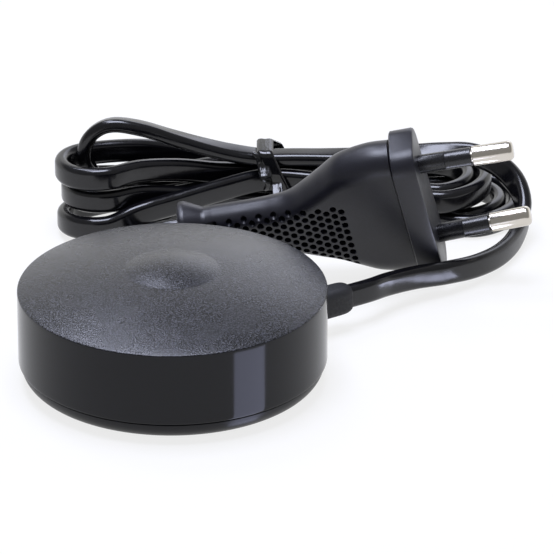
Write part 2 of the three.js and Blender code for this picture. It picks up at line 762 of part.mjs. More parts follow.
const finishes = {
  case: plastic("#26272b", 0.45),
  lowerCase: plastic("#2c2d33", 0.55),
  rubber: plastic("#1c1c1e", 0.85),
  plate: metal("#a7a9ad", 0.5),
  cord: plastic("#17171b", 0.35),
  plug: plastic("#2a2930", 0.5),
  sleeve: plastic("#1b1b1f", 0.4),
  pin: metal("#c9c5bd", 0.25),
  tie: plastic("#141416", 0.3),
  board: plastic("#2f6b45", 0.6),
  bobbin: plastic("#e6e1d2", 0.6),
  copper: metal("#b8703c", 0.35),
  ferrite: plastic("#3a3a3c", 0.8),
  capacitor: plastic("#1f2f55", 0.4),
  film: plastic("#b23a2c", 0.5),
  silicon: plastic("#202022", 0.6),
  resistor: plastic("#7ba8a0", 0.5),
  screw: metal("#b9bcc0", 0.3),
  liveWire: plastic("#6b4126", 0.5),
  neutralWire: plastic("#2b5aa8", 0.5),
};

const part = new THREE.Group();

function add(name, geometry, finish, parent = part) {
  const mesh = new THREE.Mesh(geometry, finishes[finish]);
  mesh.name = name;
  parent.add(mesh);
  return mesh;
}

// Case
add("upper_case", upperCase(), "case");
add("lower_case", lowerCase(), "lowerCase");
const sealBottom = spigotTop + fit;
add("case_seal", ring(spigotInner + fit, spigotOuter - fit, sealBottom, sealBottom + sealHeight), "rubber");
add("foot_ring", ring(footRingInner, footRingOuter, 0, footRingHeight), "rubber");
add("rating_plate", rod(plateRadius, floorBottom, floorBottom + plateThickness, turnSides), "plate");

// What lies on the gland's line
const glandLine = new THREE.Group();
glandLine.rotation.z = radians(glandHeading);
part.add(glandLine);
add("cord_gland", glandBody(), "rubber", glandLine).position.z = glandHeight;
add("live_wire", supplyWire(1), "liveWire", glandLine);
add("neutral_wire", supplyWire(-1), "neutralWire", glandLine);
const clamp = add("cord_clamp", cordClamp(), "bobbin", glandLine);
clamp.position.set(baseRadius * clampPlaceShare, 0, floorTop + fit);

// Board and coil
add("circuit_board", circuitBoard(), "board");
add("coil_bobbin", bobbin(), "bobbin");
add("primary_winding", winding(), "copper");
add("ferrite_core", core(), "ferrite");
screwAngles.forEach((angle, number) => {
  const screw = add(`board_screw_${number + 1}`, boardScrew(), "screw");
  screw.position.set(screwCircle * Math.cos(radians(angle)), screwCircle * Math.sin(radians(angle)), 0);
});

// Pieces that stand on the board in a ring round the coil. Their sizes are shares: of the ring's width in
// plan, and of the coil's height upwards.
const pieceAngles = {
  film_capacitor: 64, line_choke: 112, bulk_capacitor: 150,
  bridge_rectifier: 214, switching_transistor: 250, fuse_resistor: 322,
};
const blockShares = {
  film_capacitor: [0.34, 0.55, 0.61],
  bridge_rectifier: [0.34, 0.59, 0.23],
  switching_transistor: [0.25, 0.42, 0.44],
};
const canShares = { line_choke: [0.25, 0.53], bulk_capacitor: [0.34, 0.75] };
const resistorShares = [0.125, 0.67];

function onBoard(name, geometry, finish) {
  const angle = radians(pieceAngles[name]);
  const radius = (bobbinRadius + boardRadius) / 2;
  const piece = add(name, geometry, finish);
  piece.position.set(radius * Math.cos(angle), radius * Math.sin(angle), deck);
  piece.rotation.z = angle;
}

function standingBlock(name, finish) {
  const [across, along, up] = blockShares[name];
  const height = up * bobbinHeight;
  onBoard(name, block(across * ringWidth, along * ringWidth, height).translate(0, 0, height / 2), finish);
}

function standingCan(name, finish) {
  const [across, up] = canShares[name];
  onBoard(name, rod(across * ringWidth, 0, up * bobbinHeight), finish);
}

function lyingResistor() {
  const [radius, length] = resistorShares.map((share) => share * ringWidth);
  const body = rod(radius, -length / 2, length / 2).rotateX(Math.PI / 2).translate(0, 0, radius);
  onBoard("fuse_resistor", body, "resistor");
}

standingBlock("film_capacitor", "film");
standingCan("line_choke", "ferrite");
standingCan("bulk_capacitor", "capacitor");
standingBlock("bridge_rectifier", "silicon");
standingBlock("switching_transistor", "silicon");
lyingResistor();

// Plug
const plug = new THREE.Group();
plug.position.set(...plugPlace);
plug.rotation.copy(plugTurn);
part.add(plug);
add("plug_bridge", plugFlange(), "plug", plug);
add("plug_body", plugBody(), "plug", plug);
add("pin_upper", pin(1), "pin", plug);
add("pin_lower", pin(-1), "pin", plug);
add("sleeve_upper", sleeve(1), "sleeve", plug);
add("sleeve_lower", sleeve(-1), "sleeve", plug);

// Cord and tie
add("cord_lead", cordLead(), "cord");
add("cord_hank", cordHank(), "cord");
add("twist_tie", twistTie(), "tie");

const own = ownGap();
console.log(`hank: length ${own.length.toFixed(0)} mm, least gap to itself ${own.least.toFixed(2)} mm`);
console.log(`lead: length ${new FlatCordPath(leadRoute).getLength().toFixed(0)} mm`);

export default part;
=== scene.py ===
"""A round charging base moulded in black, its flat mains cord tied in a hank, and its two-pin plug."""
import json
import math

import bpy
import numpy as np
from mathutils import Euler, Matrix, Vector


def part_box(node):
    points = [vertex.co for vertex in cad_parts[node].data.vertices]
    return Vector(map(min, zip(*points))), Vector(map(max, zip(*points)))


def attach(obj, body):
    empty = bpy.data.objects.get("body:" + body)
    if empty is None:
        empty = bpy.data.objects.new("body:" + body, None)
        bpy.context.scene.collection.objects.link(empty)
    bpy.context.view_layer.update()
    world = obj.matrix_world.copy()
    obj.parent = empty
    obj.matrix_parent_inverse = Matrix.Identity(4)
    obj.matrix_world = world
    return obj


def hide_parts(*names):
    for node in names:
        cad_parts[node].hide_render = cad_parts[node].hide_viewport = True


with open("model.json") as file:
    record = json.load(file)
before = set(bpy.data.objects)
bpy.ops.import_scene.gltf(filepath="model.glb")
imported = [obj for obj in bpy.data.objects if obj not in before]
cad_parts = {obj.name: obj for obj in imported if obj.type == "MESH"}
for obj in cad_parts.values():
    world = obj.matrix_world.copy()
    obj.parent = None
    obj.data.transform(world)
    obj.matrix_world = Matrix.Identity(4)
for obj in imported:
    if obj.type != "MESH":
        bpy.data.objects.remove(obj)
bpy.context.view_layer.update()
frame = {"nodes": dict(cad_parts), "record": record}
scene = bpy.context.scene

MM = 0.001
TURN = 2 * math.pi
SHARP_ANGLE = 40  # degrees between two faces from which their edge isn't smoothed

# Camera, fitted to the plug's standard sizes and to the base's rim
CAMERA_ELEVATION = math.radians(25.3)
CAMERA_DISTANCE = 1100 * MM
AIM_ACROSS = 20.2 * MM
AIM_HEIGHT = 19 * MM
AIM_RISE = 2.1 * MM  # from there up the picture to its middle
PICTURE_SIDE = 554  # pixels
PIXELS_PER_METRE = 5180  # at the aim point
SENSOR_SIDE = 36  # millimetres, as Blender counts a lens

# Base, of outlines turned about the Z axis
BASE_RADIUS = (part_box("upper_case")[1].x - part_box("upper_case")[0].x) / 2
SEAM_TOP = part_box("upper_case")[0].z
CROWN_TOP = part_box("upper_case")[1].z
RIM_HEIGHT = 19 * MM
RIM_ROUND = 0.3 * MM
RIM_BAND = 2 * MM  # from the side in to where the rim's outline meets the crown's
CROWN_RISE = 4.4 * MM
CROWN_RINGS = 140
BUMP_RADIUS = 9.1 * MM
BUMP_RISE = CROWN_TOP - RIM_HEIGHT - CROWN_RISE
BUMP_FILLET = 0.05 * MM
CASE_WALL = 2.2 * MM
EDGE_ROUND = 0.3 * MM
SIDE_RINGS = 12  # on the wall, so that its faces stay short where the gland's opening cuts them
SIDE_MARGIN = 1 * MM  # from the wall's ends to the first and the last of them
UNDERSIDE_RINGS = 24
RIB_BOTTOM = 12.6 * MM
RIB_TOP = 13.8 * MM
RIB_DEPTH = 1.5 * MM
FLOOR_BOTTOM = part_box("lower_case")[0].z
FLOOR_TOP = 2.5 * MM
FOOT_RADIUS = 25.5 * MM
LIP_RADIUS = 29.5 * MM
LIP_TOP = 4 * MM
LIP_CHAMFER = 0.1 * MM
CURL_STEPS = 16
SPIGOT_OUTER = 27.5 * MM
SPIGOT_INNER = 26.1 * MM
SPIGOT_TOP = 11 * MM
GROOVE_INNER = 20.2 * MM
GROOVE_OUTER = 23.8 * MM
GROOVE_ROOF = 1.5 * MM
PLATE_RECESS_RADIUS = 16.3 * MM
PLATE_RECESS_ROOF = 1.2 * MM
HUB_RADIUS = 1 * MM  # where an outline stops short of the axis, and a fan closes the middle
TURN_SIDES = 288

# Gland, whose sections are a width and a height, and whose places are measured from the base's axis
GLAND_HEADING = math.radians(33)
GLAND_HEIGHT = 6.6 * MM
GLAND_HEAD = (6.2 * MM, 6.8 * MM)
GLAND_NECK = (4.2 * MM, 5.2 * MM)
GLAND_BOOT = (5 * MM, 6 * MM)
GLAND_HEAD_START = 23 * MM
GLAND_NECK_START = 25.4 * MM
GLAND_BOOT_START = 30.3 * MM
GLAND_END = 40.8 * MM
GLAND_STEP = 0.01 * MM  # how long a square step from one section to the next is
GLAND_CHAMFER_LONG = 0.3 * MM
GLAND_CHAMFER_CUT = 0.2 * MM  # off the width and the height
GLAND_CORNER = 1.6 * MM
# The boot's soft end and mouth: how far before its end, how much narrower and how much lower, in millimetres.
GLAND_LIP = [
    (3.2, 0, 0), (2, 0.05, 0.05), (1.2, 0.2, 0.15), (0.6, 0.45, 0.4), (0.2, 0.8, 0.7), (0, 1.2, 0.9),
    (0.1, 1.8, 1.05), (0.6, 2, 1.1), (2.2, 2, 1.1),
]
OPENING_CLEARANCE = 0.3 * MM  # round the gland's neck
OPENING_CORNER = 1 * MM
OPENING_MARGIN = 1 * MM  # how far the cutter goes past the walls that it cuts

# Plug, in its own frame: pins along +X, the flange's face at nought
PLUG_PLACE = Vector((50.6, 42.5, 18.5)) * MM
PLUG_TURN = Euler((math.radians(16.7), math.radians(-12.6), math.radians(-3.7)), "XYZ")
FLANGE_TALL = 35.3 * MM
FLANGE_DEEP = 13.7 * MM
FLANGE_THICK = 5 * MM
FLANGE_CORNER = 4.6 * MM
FLANGE_CORNER_STEPS = 12
FLANGE_TOP_CUT = 1.8 * MM  # how far the top edge seen stays below the standard outline
# The flange's broken edges: how far from its back or its face, and how far in from its sides, in millimetres.
FLANGE_BACK_EDGE = [(0, 1.2), (0, 0.5), (0.08, 0.2), (0.3, 0)]
FLANGE_FACE_EDGE = [(0.45, 0), (0.12, 0.14), (0, 0.45), (0, 1.2)]
PIN_LENGTH = 19 * MM
PIN_RADIUS = 2 * MM
PIN_CORE_RADIUS = 1.2 * MM  # inside its sleeve
PIN_BASE_SPACING = 18.6 * MM
PIN_TIP_SPACING = 17.5 * MM
PIN_ROOT = 3 * MM  # how deep it stands in the flange
PIN_TIP_ROUND = 1 * MM
PIN_EDGE_ROUND = 0.15 * MM
PIN_HUB_RADIUS = 0.3 * MM
PIN_SIDES = 48
SLEEVE_RADIUS = 1.9 * MM
SLEEVE_BORE_RADIUS = 1.5 * MM
SLEEVE_LENGTH = 10.5 * MM
SLEEVE_ROOT = 2 * MM
SLEEVE_GAP = 0.3 * MM  # from the sleeve's end to the pin's full width
MOULD_RING_HALF = 0.2 * MM
MOULD_RING_RISE = 0.08 * MM
BODY_LENGTH = 44.6 * MM
BODY_GAP = 0.3 * MM  # between the flange and the body behind it
BODY_HALF_THICK = 5 * MM
BODY_SHARP_ANGLE = 50
# Half the height of the plug's body and the rise of its middle line, as shares of half the flange's height,
# each at a share of the body's length behind the flange.
BODY_SHARES = [
    (0, 0.89, -0.01), (0.08, 0.89, 0.005), (0.165, 0.85, 0.02), (0.245, 0.765, 0.05), (0.33, 0.63, 0.045),
    (0.41, 0.52, 0.025), (0.49, 0.42, 0.015), (0.58, 0.355, 0.05), (0.67, 0.29, 0.11), (0.76, 0.24, 0.165),
    (0.85, 0.21, 0.2),
]
BODY_SPAN_STEPS = 40
TAIL_LIFT = FLANGE_TALL / 2 * BODY_SHARES[-1][2]
GRIP_LENGTH = BODY_LENGTH * BODY_SHARES[-1][0]
GRIP_SLICE = 0.14 * MM  # from ring to ring, fine enough for the dimples' walls
FLANK_STEPS = 120
FLANK_LEAST = 0.02 * MM
EDGE_STEPS = 84
NECK_RADIUS = 3.6 * MM
COLLAR_RADIUS = 5.5 * MM
COLLAR_LENGTH = 4.9 * MM
# The collar's outline in millimetres: behind its start and over the neck, then before its end and inwards.
COLLAR_START = [(-0.6, 0), (0, 0.05), (0.5, 0.3)]
COLLAR_EDGE = [(1.5, 0.15), (1.2, 0.02), (0.4, 0), (0.12, 0.1), (0, 0.4), (0, 1.4)]
MOUTH_CLEARANCE = 0.15 * MM  # round the cord
MOUTH_RINGS = [(0.1, 1), (2, 0.98)]  # millimetres before the collar's end, and share of the mouth's size
MOUTH_POWER = 0.6  # what squares the mouth off
DIMPLE_RADIUS = 0.56 * MM
DIMPLE_DEPTH = 1.7 * MM
DIMPLE_WALL = 0.16 * MM  # how wide the slope at a dimple's edge is
DIMPLE_COLUMN_PITCH = 1.52 * MM
DIMPLE_ROW_PITCH = 1.8 * MM
DIMPLE_START = 11.7 * MM  # from the front of the body to the first column
DIMPLE_COLUMNS = 20
DIMPLE_TOP = 5.5 * MM
DIMPLE_MARGIN = 1.2 * MM  # between the lowest dimples and the body's lower edge

# Cord
CORD_WIDE = 4.8 * MM
CORD_THICK = 2.8 * MM
CORD_CORNER = 1.2 * MM
CORD_CORNER_STEPS = 6
CORD_ENTRY = 1.8 * MM  # how far it goes into the gland and into the plug's collar
LEAD_STRAIGHT = 5.1 * MM  # how far it runs straight out of the gland
TAIL_STRAIGHT = 4.8 * MM  # how far it runs straight into the plug's collar
CORD_STEPS = 8  # rings for each span of the route

# The cord's route, in millimetres and degrees. Rows are x, y, z and how far its wide side leans from upright.
TIE_X = 17.5
LEAD_ROUTE = [
    (42.3, 29.4, 5.9, 0), (47.8, 33.7, 5.3, 0), (54.3, 37.5, 4.6, 0), (60.4, 42.9, 3.6, 0),
    (65.6, 50.2, 2.9, 0), (69, 58.2, 3.3, 0), (70.6, 64.4, 6.2, 8), (69, 69, 10, 15), (65.2, 71.2, 13.2, 25),
    (59.9, 72.1, 15, 35), (54.3, 73, 14.8, 50), (48, 73.7, 14.2, 64), (43.05, 74.06, 13.74, 71),
    (38.1, 74.35, 13.4, 78), (30, 74.8, 13.15, 88), (24, 75, 13.1, 90), (TIE_X, 75, 13.1, 90),
]
PLUG_ROUTE = [
    (11, 76.8, 3.1, 5), (5, 76, 2.9, 45), (-0.2, 73.6, 1.9, 80), (-4.4, 69.2, 1.6, 90),
    (-6.4, 63.6, 1.6, 90), (-7, 58.2, 2.4, 80), (-6.8, 52.8, 4.7, 50),
]
PLUG_LEAN = 12
STANDING_RISE = [(11, 74.6, 14.2, 84), (5, 73.5, 16.2, 86), (-1.5, 72, 18.9, 92), (-7.3, 70.7, 21.4, 98)]
STANDING_CENTRE = (-12.7, 16)  # of the standing loop, as x and z
STANDING_Y = 70.4
STANDING_RADIUS = 6.4
STANDING_LEANS = [(92, 104), (118, 106), (146, 104), (174, 99), (202, 92), (232, 76), (262, 48)]

# The hank under the tie has two rows of four strands, and its folds lie in two rows at the right end. Each
# right fold joins a strand of one of the two back columns to the one across from it in front.
WAIST_ROWS = [3.3, 8.7]
WAIST_COLUMNS = [73.2 + 3.5 * column for column in range(4)]
RIGHT_FOLD_ROWS = [2.5, 7.9]
RIGHT_FOLD_MIDDLE = 75.5
RIGHT_FOLD_FLARE = 6.2  # how much wider than the waist it is, to each side
RIGHT_FOLD_ANGLES = (80, 48, 16, -16, -48, -80)
RIGHT_FOLD_SHARES = (0.36, 0.74)  # of the way from the tie to the fold
LEFT_FOLD_RADIUS = 7.6
LEFT_FOLD_ANGLES = (286, 253, 220, 187, 154, 120)
# Each left fold's far end and middle, and its height at its start and at its end.
LEFT_FOLDS = {"top": (-23.8, 68.8, 14.4, 13.5), "low": (-23.4, 67, 4.4, 2.5), "mid": (-22.6, 69.6, 9.1, 8)}
# Where each strand at the left end crosses three stations along X, as y and z.
LANE_STATIONS = [8, 0, -8]
LANES = {
    "top_front": [(74.2, 9.9), (70.8, 12.1), (65.8, 14)],
    "top_back": [(84.2, 8.8), (82.2, 10.5), (79, 12.9)],
    "low_front": [(69, 8.2), (65, 7.4), (61.2, 6.5)],
    "low_back": [(84.6, 2.8), (83.1, 2.5), (79.4, 2.5)],
    "mid_front": [(72.8, 4.3), (69.4, 6.6), (65.4, 8.6)],
    "mid_back": [(81, 3.7), (79.2, 6.1), (76.4, 8)],
    "inner_back": [(78.3, 9.3), (75.3, 9.3), (72.3, 9.4)],
}

# Tie
TIE_WIDTH = 3.4 * MM
TIE_THICKNESS = 0.5 * MM
TIE_SLANT = 0.45  # how far it moves along the hank for each millimetre down
TIE_BEND = 1 * MM
TIE_SHOULDER_BEND = 1.2 * MM
TIE_BEND_STEPS = 8
TIE_CREST_FRONT = 71.7 * MM  # of the stretch that lies on the strand on top
TIE_CREST_BACK = 78.3 * MM
# The band's section as shares of its width and its thickness, with thin edges and a dip in the middle.
TIE_OUTSIDE = [(-0.5, 0.1), (-0.42, 0.75), (-0.25, 1), (0, 0.8), (0.25, 1), (0.42, 0.75), (0.5, 0.1)]
TIE_INSIDE = [(0.48, 0), (0, 0), (-0.48, 0)]
# Rows of the tie's twisted ends and of its free end are x, y, z and turn, in millimetres and degrees.
TWIST_ROUTE = [
    (15.2, 72.7, 15.1, 60), (16.4, 72, 14.7, 75), (17.2, 71.4, 13.2, 88), (17.7, 70.2, 12.1, 92),
    (18, 68.8, 11.2, 95), (18.2, 68.9, 10, 150), (18.3, 69.8, 8.8, 230),
]
TWIST_WIDE = 2.6 * MM
TWIST_THICK = 1 * MM
TAIL_ROUTE = [(19.9, 71.4, 10.6, 80), (20.1, 70.9, 9.5, 88), (20.3, 69.4, 8.2, 90), (20.5, 67.6, 6.9, 90)]
TAIL_WIDE = 2.2 * MM
RIBBON_STEPS = 12
RIBBON_CORNER = 0.4  # as a share of a strip's thickness
RIBBON_CORNER_STEPS = 5
RIBBON_TIP = 0.35  # how wide a strip starts and ends, as a share of its width
RIBBON_TAPER = 4  # how fast it widens from there

# Light
FLOOR_HALF = 4  # metres
FLOOR_GLOW = 0.8  # how much of the floor's look is its own light, where it is seen directly
ROOM_LEVEL = 0.35
DARK_CEILING = 0.3  # how bright glossy surfaces see the room overhead, where it is 1 behind the object
CEILING_WAY = (0, -0.5, 1)  # the way towards which the room darkens
CEILING_FROM = 0.02
CEILING_TO = 0.28
LAMP_COLOUR = "#e4e9ff"
CARD_HEIGHT = 0.2 * MM


def linear(colour):
    """The linear red, green, blue and alpha of an sRGB hex colour."""
    parts = [int(colour[place:place + 2], 16) / 255 for place in (1, 3, 5)]
    return [part / 12.92 if part <= 0.04045 else ((part + 0.055) / 1.055) ** 2.4 for part in parts] + [1]


def add_node(tree, kind, inputs=None, **settings):
    """Adds a node. Settings are its own properties, and inputs its sockets: a value, or a socket to link."""
    added = tree.nodes.new(kind)
    for name, value in settings.items():
        setattr(added, name, value)
    for socket, value in (inputs or {}).items():
        if isinstance(value, bpy.types.NodeSocket):
            tree.links.new(value, added.inputs[socket])
        else:
            added.inputs[socket].default_value = value
    return added


def new_material(name):
    """An empty material and its node tree."""
    material = bpy.data.materials.new(name)
    material.use_nodes = True
    material.node_tree.nodes.clear()
    return material, material.node_tree


def surface(tree, inputs):
    """Puts a Principled shader on the material's output."""
    shader = add_node(tree, "ShaderNodeBsdfPrincipled", inputs)
    add_node(tree, "ShaderNodeOutputMaterial", {"Surface": shader.outputs[0]})


def noise(tree, size, detail=2.0, roughness=0.5, squeeze=None):
    """Noise whose blobs are about that size in metres, squeezed along the axes by the given factors."""
    place = add_node(tree, "ShaderNodeTexCoord").outputs["Object"]
    if squeeze:
        place = add_node(tree, "ShaderNodeMapping", {"Vector": place, "Scale": squeeze}).outputs[0]
    values = {"Vector": place, "Scale": 1 / size, "Detail": detail, "Roughness": roughness}
    return add_node(tree, "ShaderNodeTexNoise", values).outputs[0]


def spread(tree, value, low, high, source_low=0.3, source_high=0.7):
    """A value taken from its usual range to another range."""
    values = {"Value": value, "From Min": source_low, "From Max": source_high, "To Min": low, "To Max": high}
    return add_node(tree, "ShaderNodeMapRange", values).outputs[0]


def tinted(tree, factor, first, second):
    """A colour between two hex colours. The mix node's colours are its inputs 6 and 7 and its output 2."""
    values = {0: factor, 6: linear(first), 7: linear(second)}
    return add_node(tree, "ShaderNodeMix", values, data_type="RGBA").outputs[2]


def bump(tree, height, distance, strength):
    """A normal roughened by a height of that many metres."""
    values = {"Height": height, "Distance": distance, "Strength": strength}
    return add_node(tree, "ShaderNodeBump", values).outputs[0]


def eroded_abs():
    """ABS moulded against spark-eroded steel: a dark satin crown with fine grain, whose sparkle is painted as
    light specks in its colour.

    The grain is drawn at 0.3 mm, because a finer one doesn't show.
    """
    material, tree = new_material("abs_spark_eroded")
    grain = noise(tree, 0.3 * MM, 1.0)
    cloud = noise(tree, 9 * MM, 2.0)
    surface(tree, {
        # The grain's own texture is in the bump; the light specks in the colour are painted glints that stand
        # in for its sparkle.
        "Base Color": tinted(tree, spread(tree, grain, 0, 1, 0.45, 0.65), "#07080b", "#3e3f46"),
        "Roughness": spread(tree, cloud, 0.24, 0.3),
        "IOR": 1.5,
        "Normal": bump(tree, grain, 0.07 * MM, 1.0),
    })
    return material


def polished_abs():
    """ABS moulded against polished steel: near black, glossy, with faint scuffs."""
    material, tree = new_material("abs_polished")
    scuffs = noise(tree, 1.2 * MM, 4.0, 0.7, (1, 1, 6))
    surface(tree, {
        "Base Color": linear("#08080d"),
        "Roughness": spread(tree, scuffs, 0.08, 0.14),
        "IOR": 1.46,
        "Specular IOR Level": 0.32,
        "Normal": bump(tree, noise(tree, 5 * MM), 0.01 * MM, 0.3),
    })
    return material


def satin_abs():
    """ABS moulded against blasted steel: the plain satin of the lower case.

    The grain is drawn at 0.3 mm, because a finer one doesn't show.
    """
    material, tree = new_material("abs_satin")
    grain = noise(tree, 0.3 * MM, 2.0)
    surface(tree, {
        "Base Color": tinted(tree, grain, "#0a0a0d", "#121216"),
        "Roughness": spread(tree, grain, 0.32, 0.42),
        "IOR": 1.5,
        "Specular IOR Level": 0.3,
        "Normal": bump(tree, grain, 0.02 * MM, 0.4),
    })
    return material


def moulded_rubber():
    """Soft rubber, moulded: deep black and nearly matt, with a fine mottle."""
    material, tree = new_material("rubber_moulded")
    mottle = noise(tree, 0.5 * MM, 3.0)
    surface(tree, {
        "Base Color": tinted(tree, mottle, "#121214", "#1e1e20"),
        "Roughness": spread(tree, mottle, 0.55, 0.75),
        "IOR": 1.5,
        "Normal": bump(tree, mottle, 0.03 * MM, 0.5),
    })
    return material


def plug_vinyl():
    """Vinyl moulded over the plug: near black with a violet tinge, satin, with a fine even grain.

    The grain is drawn at 0.22 mm, because a finer one doesn't show.
    """
    material, tree = new_material("vinyl_moulded")
    grain = noise(tree, 0.22 * MM, 2.0, 0.6)
    cloud = noise(tree, 6 * MM, 2.0)
    surface(tree, {
        "Base Color": tinted(tree, spread(tree, grain, 0, 1), "#0d0d14", "#181823"),
        "Roughness": spread(tree, cloud, 0.3, 0.4),
        "IOR": 1.5,
        "Normal": bump(tree, grain, 0.03 * MM, 0.6),
    })
    return material


def cord_vinyl():
    """Vinyl extruded round the cord's cores: black, half glossy and a little uneven."""
    material, tree = new_material("vinyl_extruded")
    film = noise(tree, 2.5 * MM, 3.0, 0.6)
    surface(tree, {
        "Base Color": tinted(tree, film, "#07070a", "#0e0e12"),
        "Roughness": spread(tree, film, 0.14, 0.24),
        "IOR": 1.5,
        "Normal": bump(tree, film, 0.03 * MM, 0.35),
    })
    return material


def sleeve_nylon():
    """Nylon moulded round a pin: smooth, black and half glossy."""
    material, tree = new_material("nylon_sleeve")
    wear = noise(tree, 0.8 * MM, 3.0, 0.6, (1, 3, 3))
    surface(tree, {
        "Base Color": tinted(tree, wear, "#0b0b0e", "#141418"),
        "Roughness": spread(tree, wear, 0.22, 0.34),
        "IOR": 1.53,
    })
    return material


def nickel_plate():
    """Brass turned and plated with nickel: a warm bright metal with faint rings from the lathe."""
    material, tree = new_material("nickel_plated")
    rings = noise(tree, 0.25 * MM, 2.0, 0.5, (4, 0.3, 0.3))
    surface(tree, {
        "Base Color": linear("#d3cdc3"),
        "Metallic": 1.0,
        "Roughness": spread(tree, rings, 0.12, 0.22),
        "Normal": bump(tree, rings, 0.006 * MM, 0.4),
    })
    return material


def glossy_film():
    """Polythene film round the tie's wire: black, wet-looking and slightly creased."""
    material, tree = new_material("polythene_film")
    creases = noise(tree, 1.6 * MM, 2.0, 0.5, (3, 1, 1))
    surface(tree, {
        "Base Color": linear("#0e0e10"),
        "Roughness": spread(tree, creases, 0.08, 0.18),
        "IOR": 1.52,
        "Normal": bump(tree, creases, 0.15 * MM, 0.5),
    })
    return material


def plain_finish(name, first, second, size, roughness, metallic=0.0, relief=0.02 * MM):
    """A plain finish for pieces inside and under the case: two near colours, mottled at that size."""
    material, tree = new_material(name)
    mottle = noise(tree, size, 3.0)
    surface(tree, {
        "Base Color": tinted(tree, mottle, first, second),
        "Metallic": metallic,
        "Roughness": spread(tree, mottle, roughness - 0.05, roughness + 0.05),
        "Normal": bump(tree, mottle, relief, 0.4),
    })
    return material


FINISHES = {
    "case_black": eroded_abs(),
    "lower_case_black": satin_abs(),
    "rubber_black": moulded_rubber(),
    "plate_foil": plain_finish("foil_label", "#9fa1a5", "#b3b5b8", 1.5 * MM, 0.4, 0.9),
    "cord_black": cord_vinyl(),
    "plug_black": plug_vinyl(),
    "sleeve_black": sleeve_nylon(),
    "pin_nickel": nickel_plate(),
    "tie_black": glossy_film(),
    "board_green": plain_finish("solder_mask", "#28603c", "#347049", 0.8 * MM, 0.4),
    "bobbin_cream": plain_finish("nylon_moulded", "#e0dac9", "#ebe6d8", 1 * MM, 0.5),
    "winding_copper": plain_finish("enamelled_copper", "#a96332", "#c67d47", 0.3 * MM, 0.3, 0.9, 0.08 * MM),
    "ferrite_grey": plain_finish("ferrite_sintered", "#333335", "#434345", 0.2 * MM, 0.75),
    "capacitor_blue": plain_finish("sleeve_shrunk", "#1a294c", "#24365f", 1 * MM, 0.35),
    "film_red": plain_finish("epoxy_dipped", "#a63226", "#bd4335", 0.7 * MM, 0.4),
    "silicon_black": plain_finish("epoxy_moulded", "#1b1b1d", "#252527", 0.3 * MM, 0.6),
    "resistor_green": plain_finish("lacquer", "#719c95", "#86b3ab", 0.6 * MM, 0.45),
    "screw_steel": plain_finish("zinc_plated", "#b0b3b7", "#c3c6ca", 0.4 * MM, 0.28, 1.0),
    "wire_brown": plain_finish("wire_vinyl_brown", "#63391f", "#75492c", 1 * MM, 0.4),
    "wire_blue": plain_finish("wire_vinyl_blue", "#24509b", "#3161b2", 1 * MM, 0.4),
}
POLISHED = polished_abs()


def piece(name, points, faces, slot, replaced=(), sharp=SHARP_ANGLE):
    """A piece of the object from its points and faces, finished as its slot says."""
    mesh = bpy.data.meshes.new(name)
    mesh.from_pydata([tuple(point) for point in points], [], faces)
    mesh.validate()
    mesh.shade_smooth()
    mesh.set_sharp_from_angle(angle=math.radians(sharp))
    mesh.materials.append(FINISHES[slot])
    made = bpy.data.objects.new(name, mesh)
    scene.collection.objects.link(made)
    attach(made, "root")
    if replaced:
        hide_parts(*replaced)
    return made


def skin(rings, ends=True):
    """Points and faces of a closed skin over rings of equal count, with fans over its two ends.

    The rings run anticlockwise seen from the last one. Without ends, the last ring joins the first.
    """
    rings = np.asarray(rings)
    count, sides = rings.shape[:2]
    points = [*rings.reshape(-1, 3)]
    faces = []
    for row in range(count - 1 if ends else count):
        below = row * sides
        above = (row + 1) % count * sides
        for side in range(sides):
            nearby = (side + 1) % sides
            faces.append((below + side, below + nearby, above + nearby, above + side))
    if ends:
        first = len(points)
        points += [rings[0].mean(0), rings[-1].mean(0)]
        last = (count - 1) * sides
        for side in range(sides):
            nearby = (side + 1) % sides
            faces.append((nearby, side, first))
            faces.append((last + side, last + nearby, first + 1))
    return points, faces


def rounded(corners, steps=6):
    """A line through corners of x, y and radius, with an arc of that radius at each."""
    line = []
    for place, (x, y, radius) in enumerate(corners):
        corner = np.array((x, y))
        if radius == 0:
            line.append(corner)
            continue
        before = np.array(corners[place - 1][:2]) - corner
        after = np.array(corners[(place + 1) % len(corners)][:2]) - corner
        before = before / np.linalg.norm(before)
        after = after / np.linalg.norm(after)
        half = math.acos(np.clip(before @ after, -1, 1)) / 2
        middle = (before + after) / np.linalg.norm(before + after)
        centre = corner + middle * radius / math.sin(half)
        start = corner + before * radius / math.tan(half) - centre
        end = corner + after * radius / math.tan(half) - centre
        sweep = math.pi - 2 * half
        for step in range(steps + 1):
            share = step / steps
            arm = (start * math.sin((1 - share) * sweep) + end * math.sin(share * sweep)) / math.sin(sweep)
            line.append(centre + arm)
    return line


def oval(wide, tall, corner, steps=8):
    """A rounded rectangle's points, anticlockwise, as across and up."""
    a = wide / 2
    b = tall / 2
    corner = min(corner, 0.999 * a, 0.999 * b)  # a corner as large as a side would leave points in one place
    return rounded([(a, -b, corner), (a, b, corner), (-a, b, corner), (-a, -b, corner)], steps)


def through(rows, steps):
    """A smooth line through rows of numbers: a centripetal Catmull-Rom spline, with steps to each span."""
    rows = np.asarray(rows, float)
    rows = np.vstack((2 * rows[0] - rows[1], rows, 2 * rows[-1] - rows[-2]))
    line = []
    for a, b, c, d in zip(rows, rows[1:], rows[2:], rows[3:]):
        ab, bc, cd = (math.sqrt(np.linalg.norm((end - start)[:3])) for start, end in ((a, b), (b, c), (c, d)))
        leave = ((b - a) / ab - (c - a) / (ab + bc) + (c - b) / bc) * bc
        arrive = ((c - b) / bc - (d - b) / (bc + cd) + (d - c) / cd) * bc
        for t in np.arange(steps) / steps:
            line.append(b + leave * t + (3 * (c - b) - 2 * leave - arrive) * t ** 2
                        + (2 * (b - c) + leave + arrive) * t ** 3)
    line.append(rows[-2])
    return np.array(line)


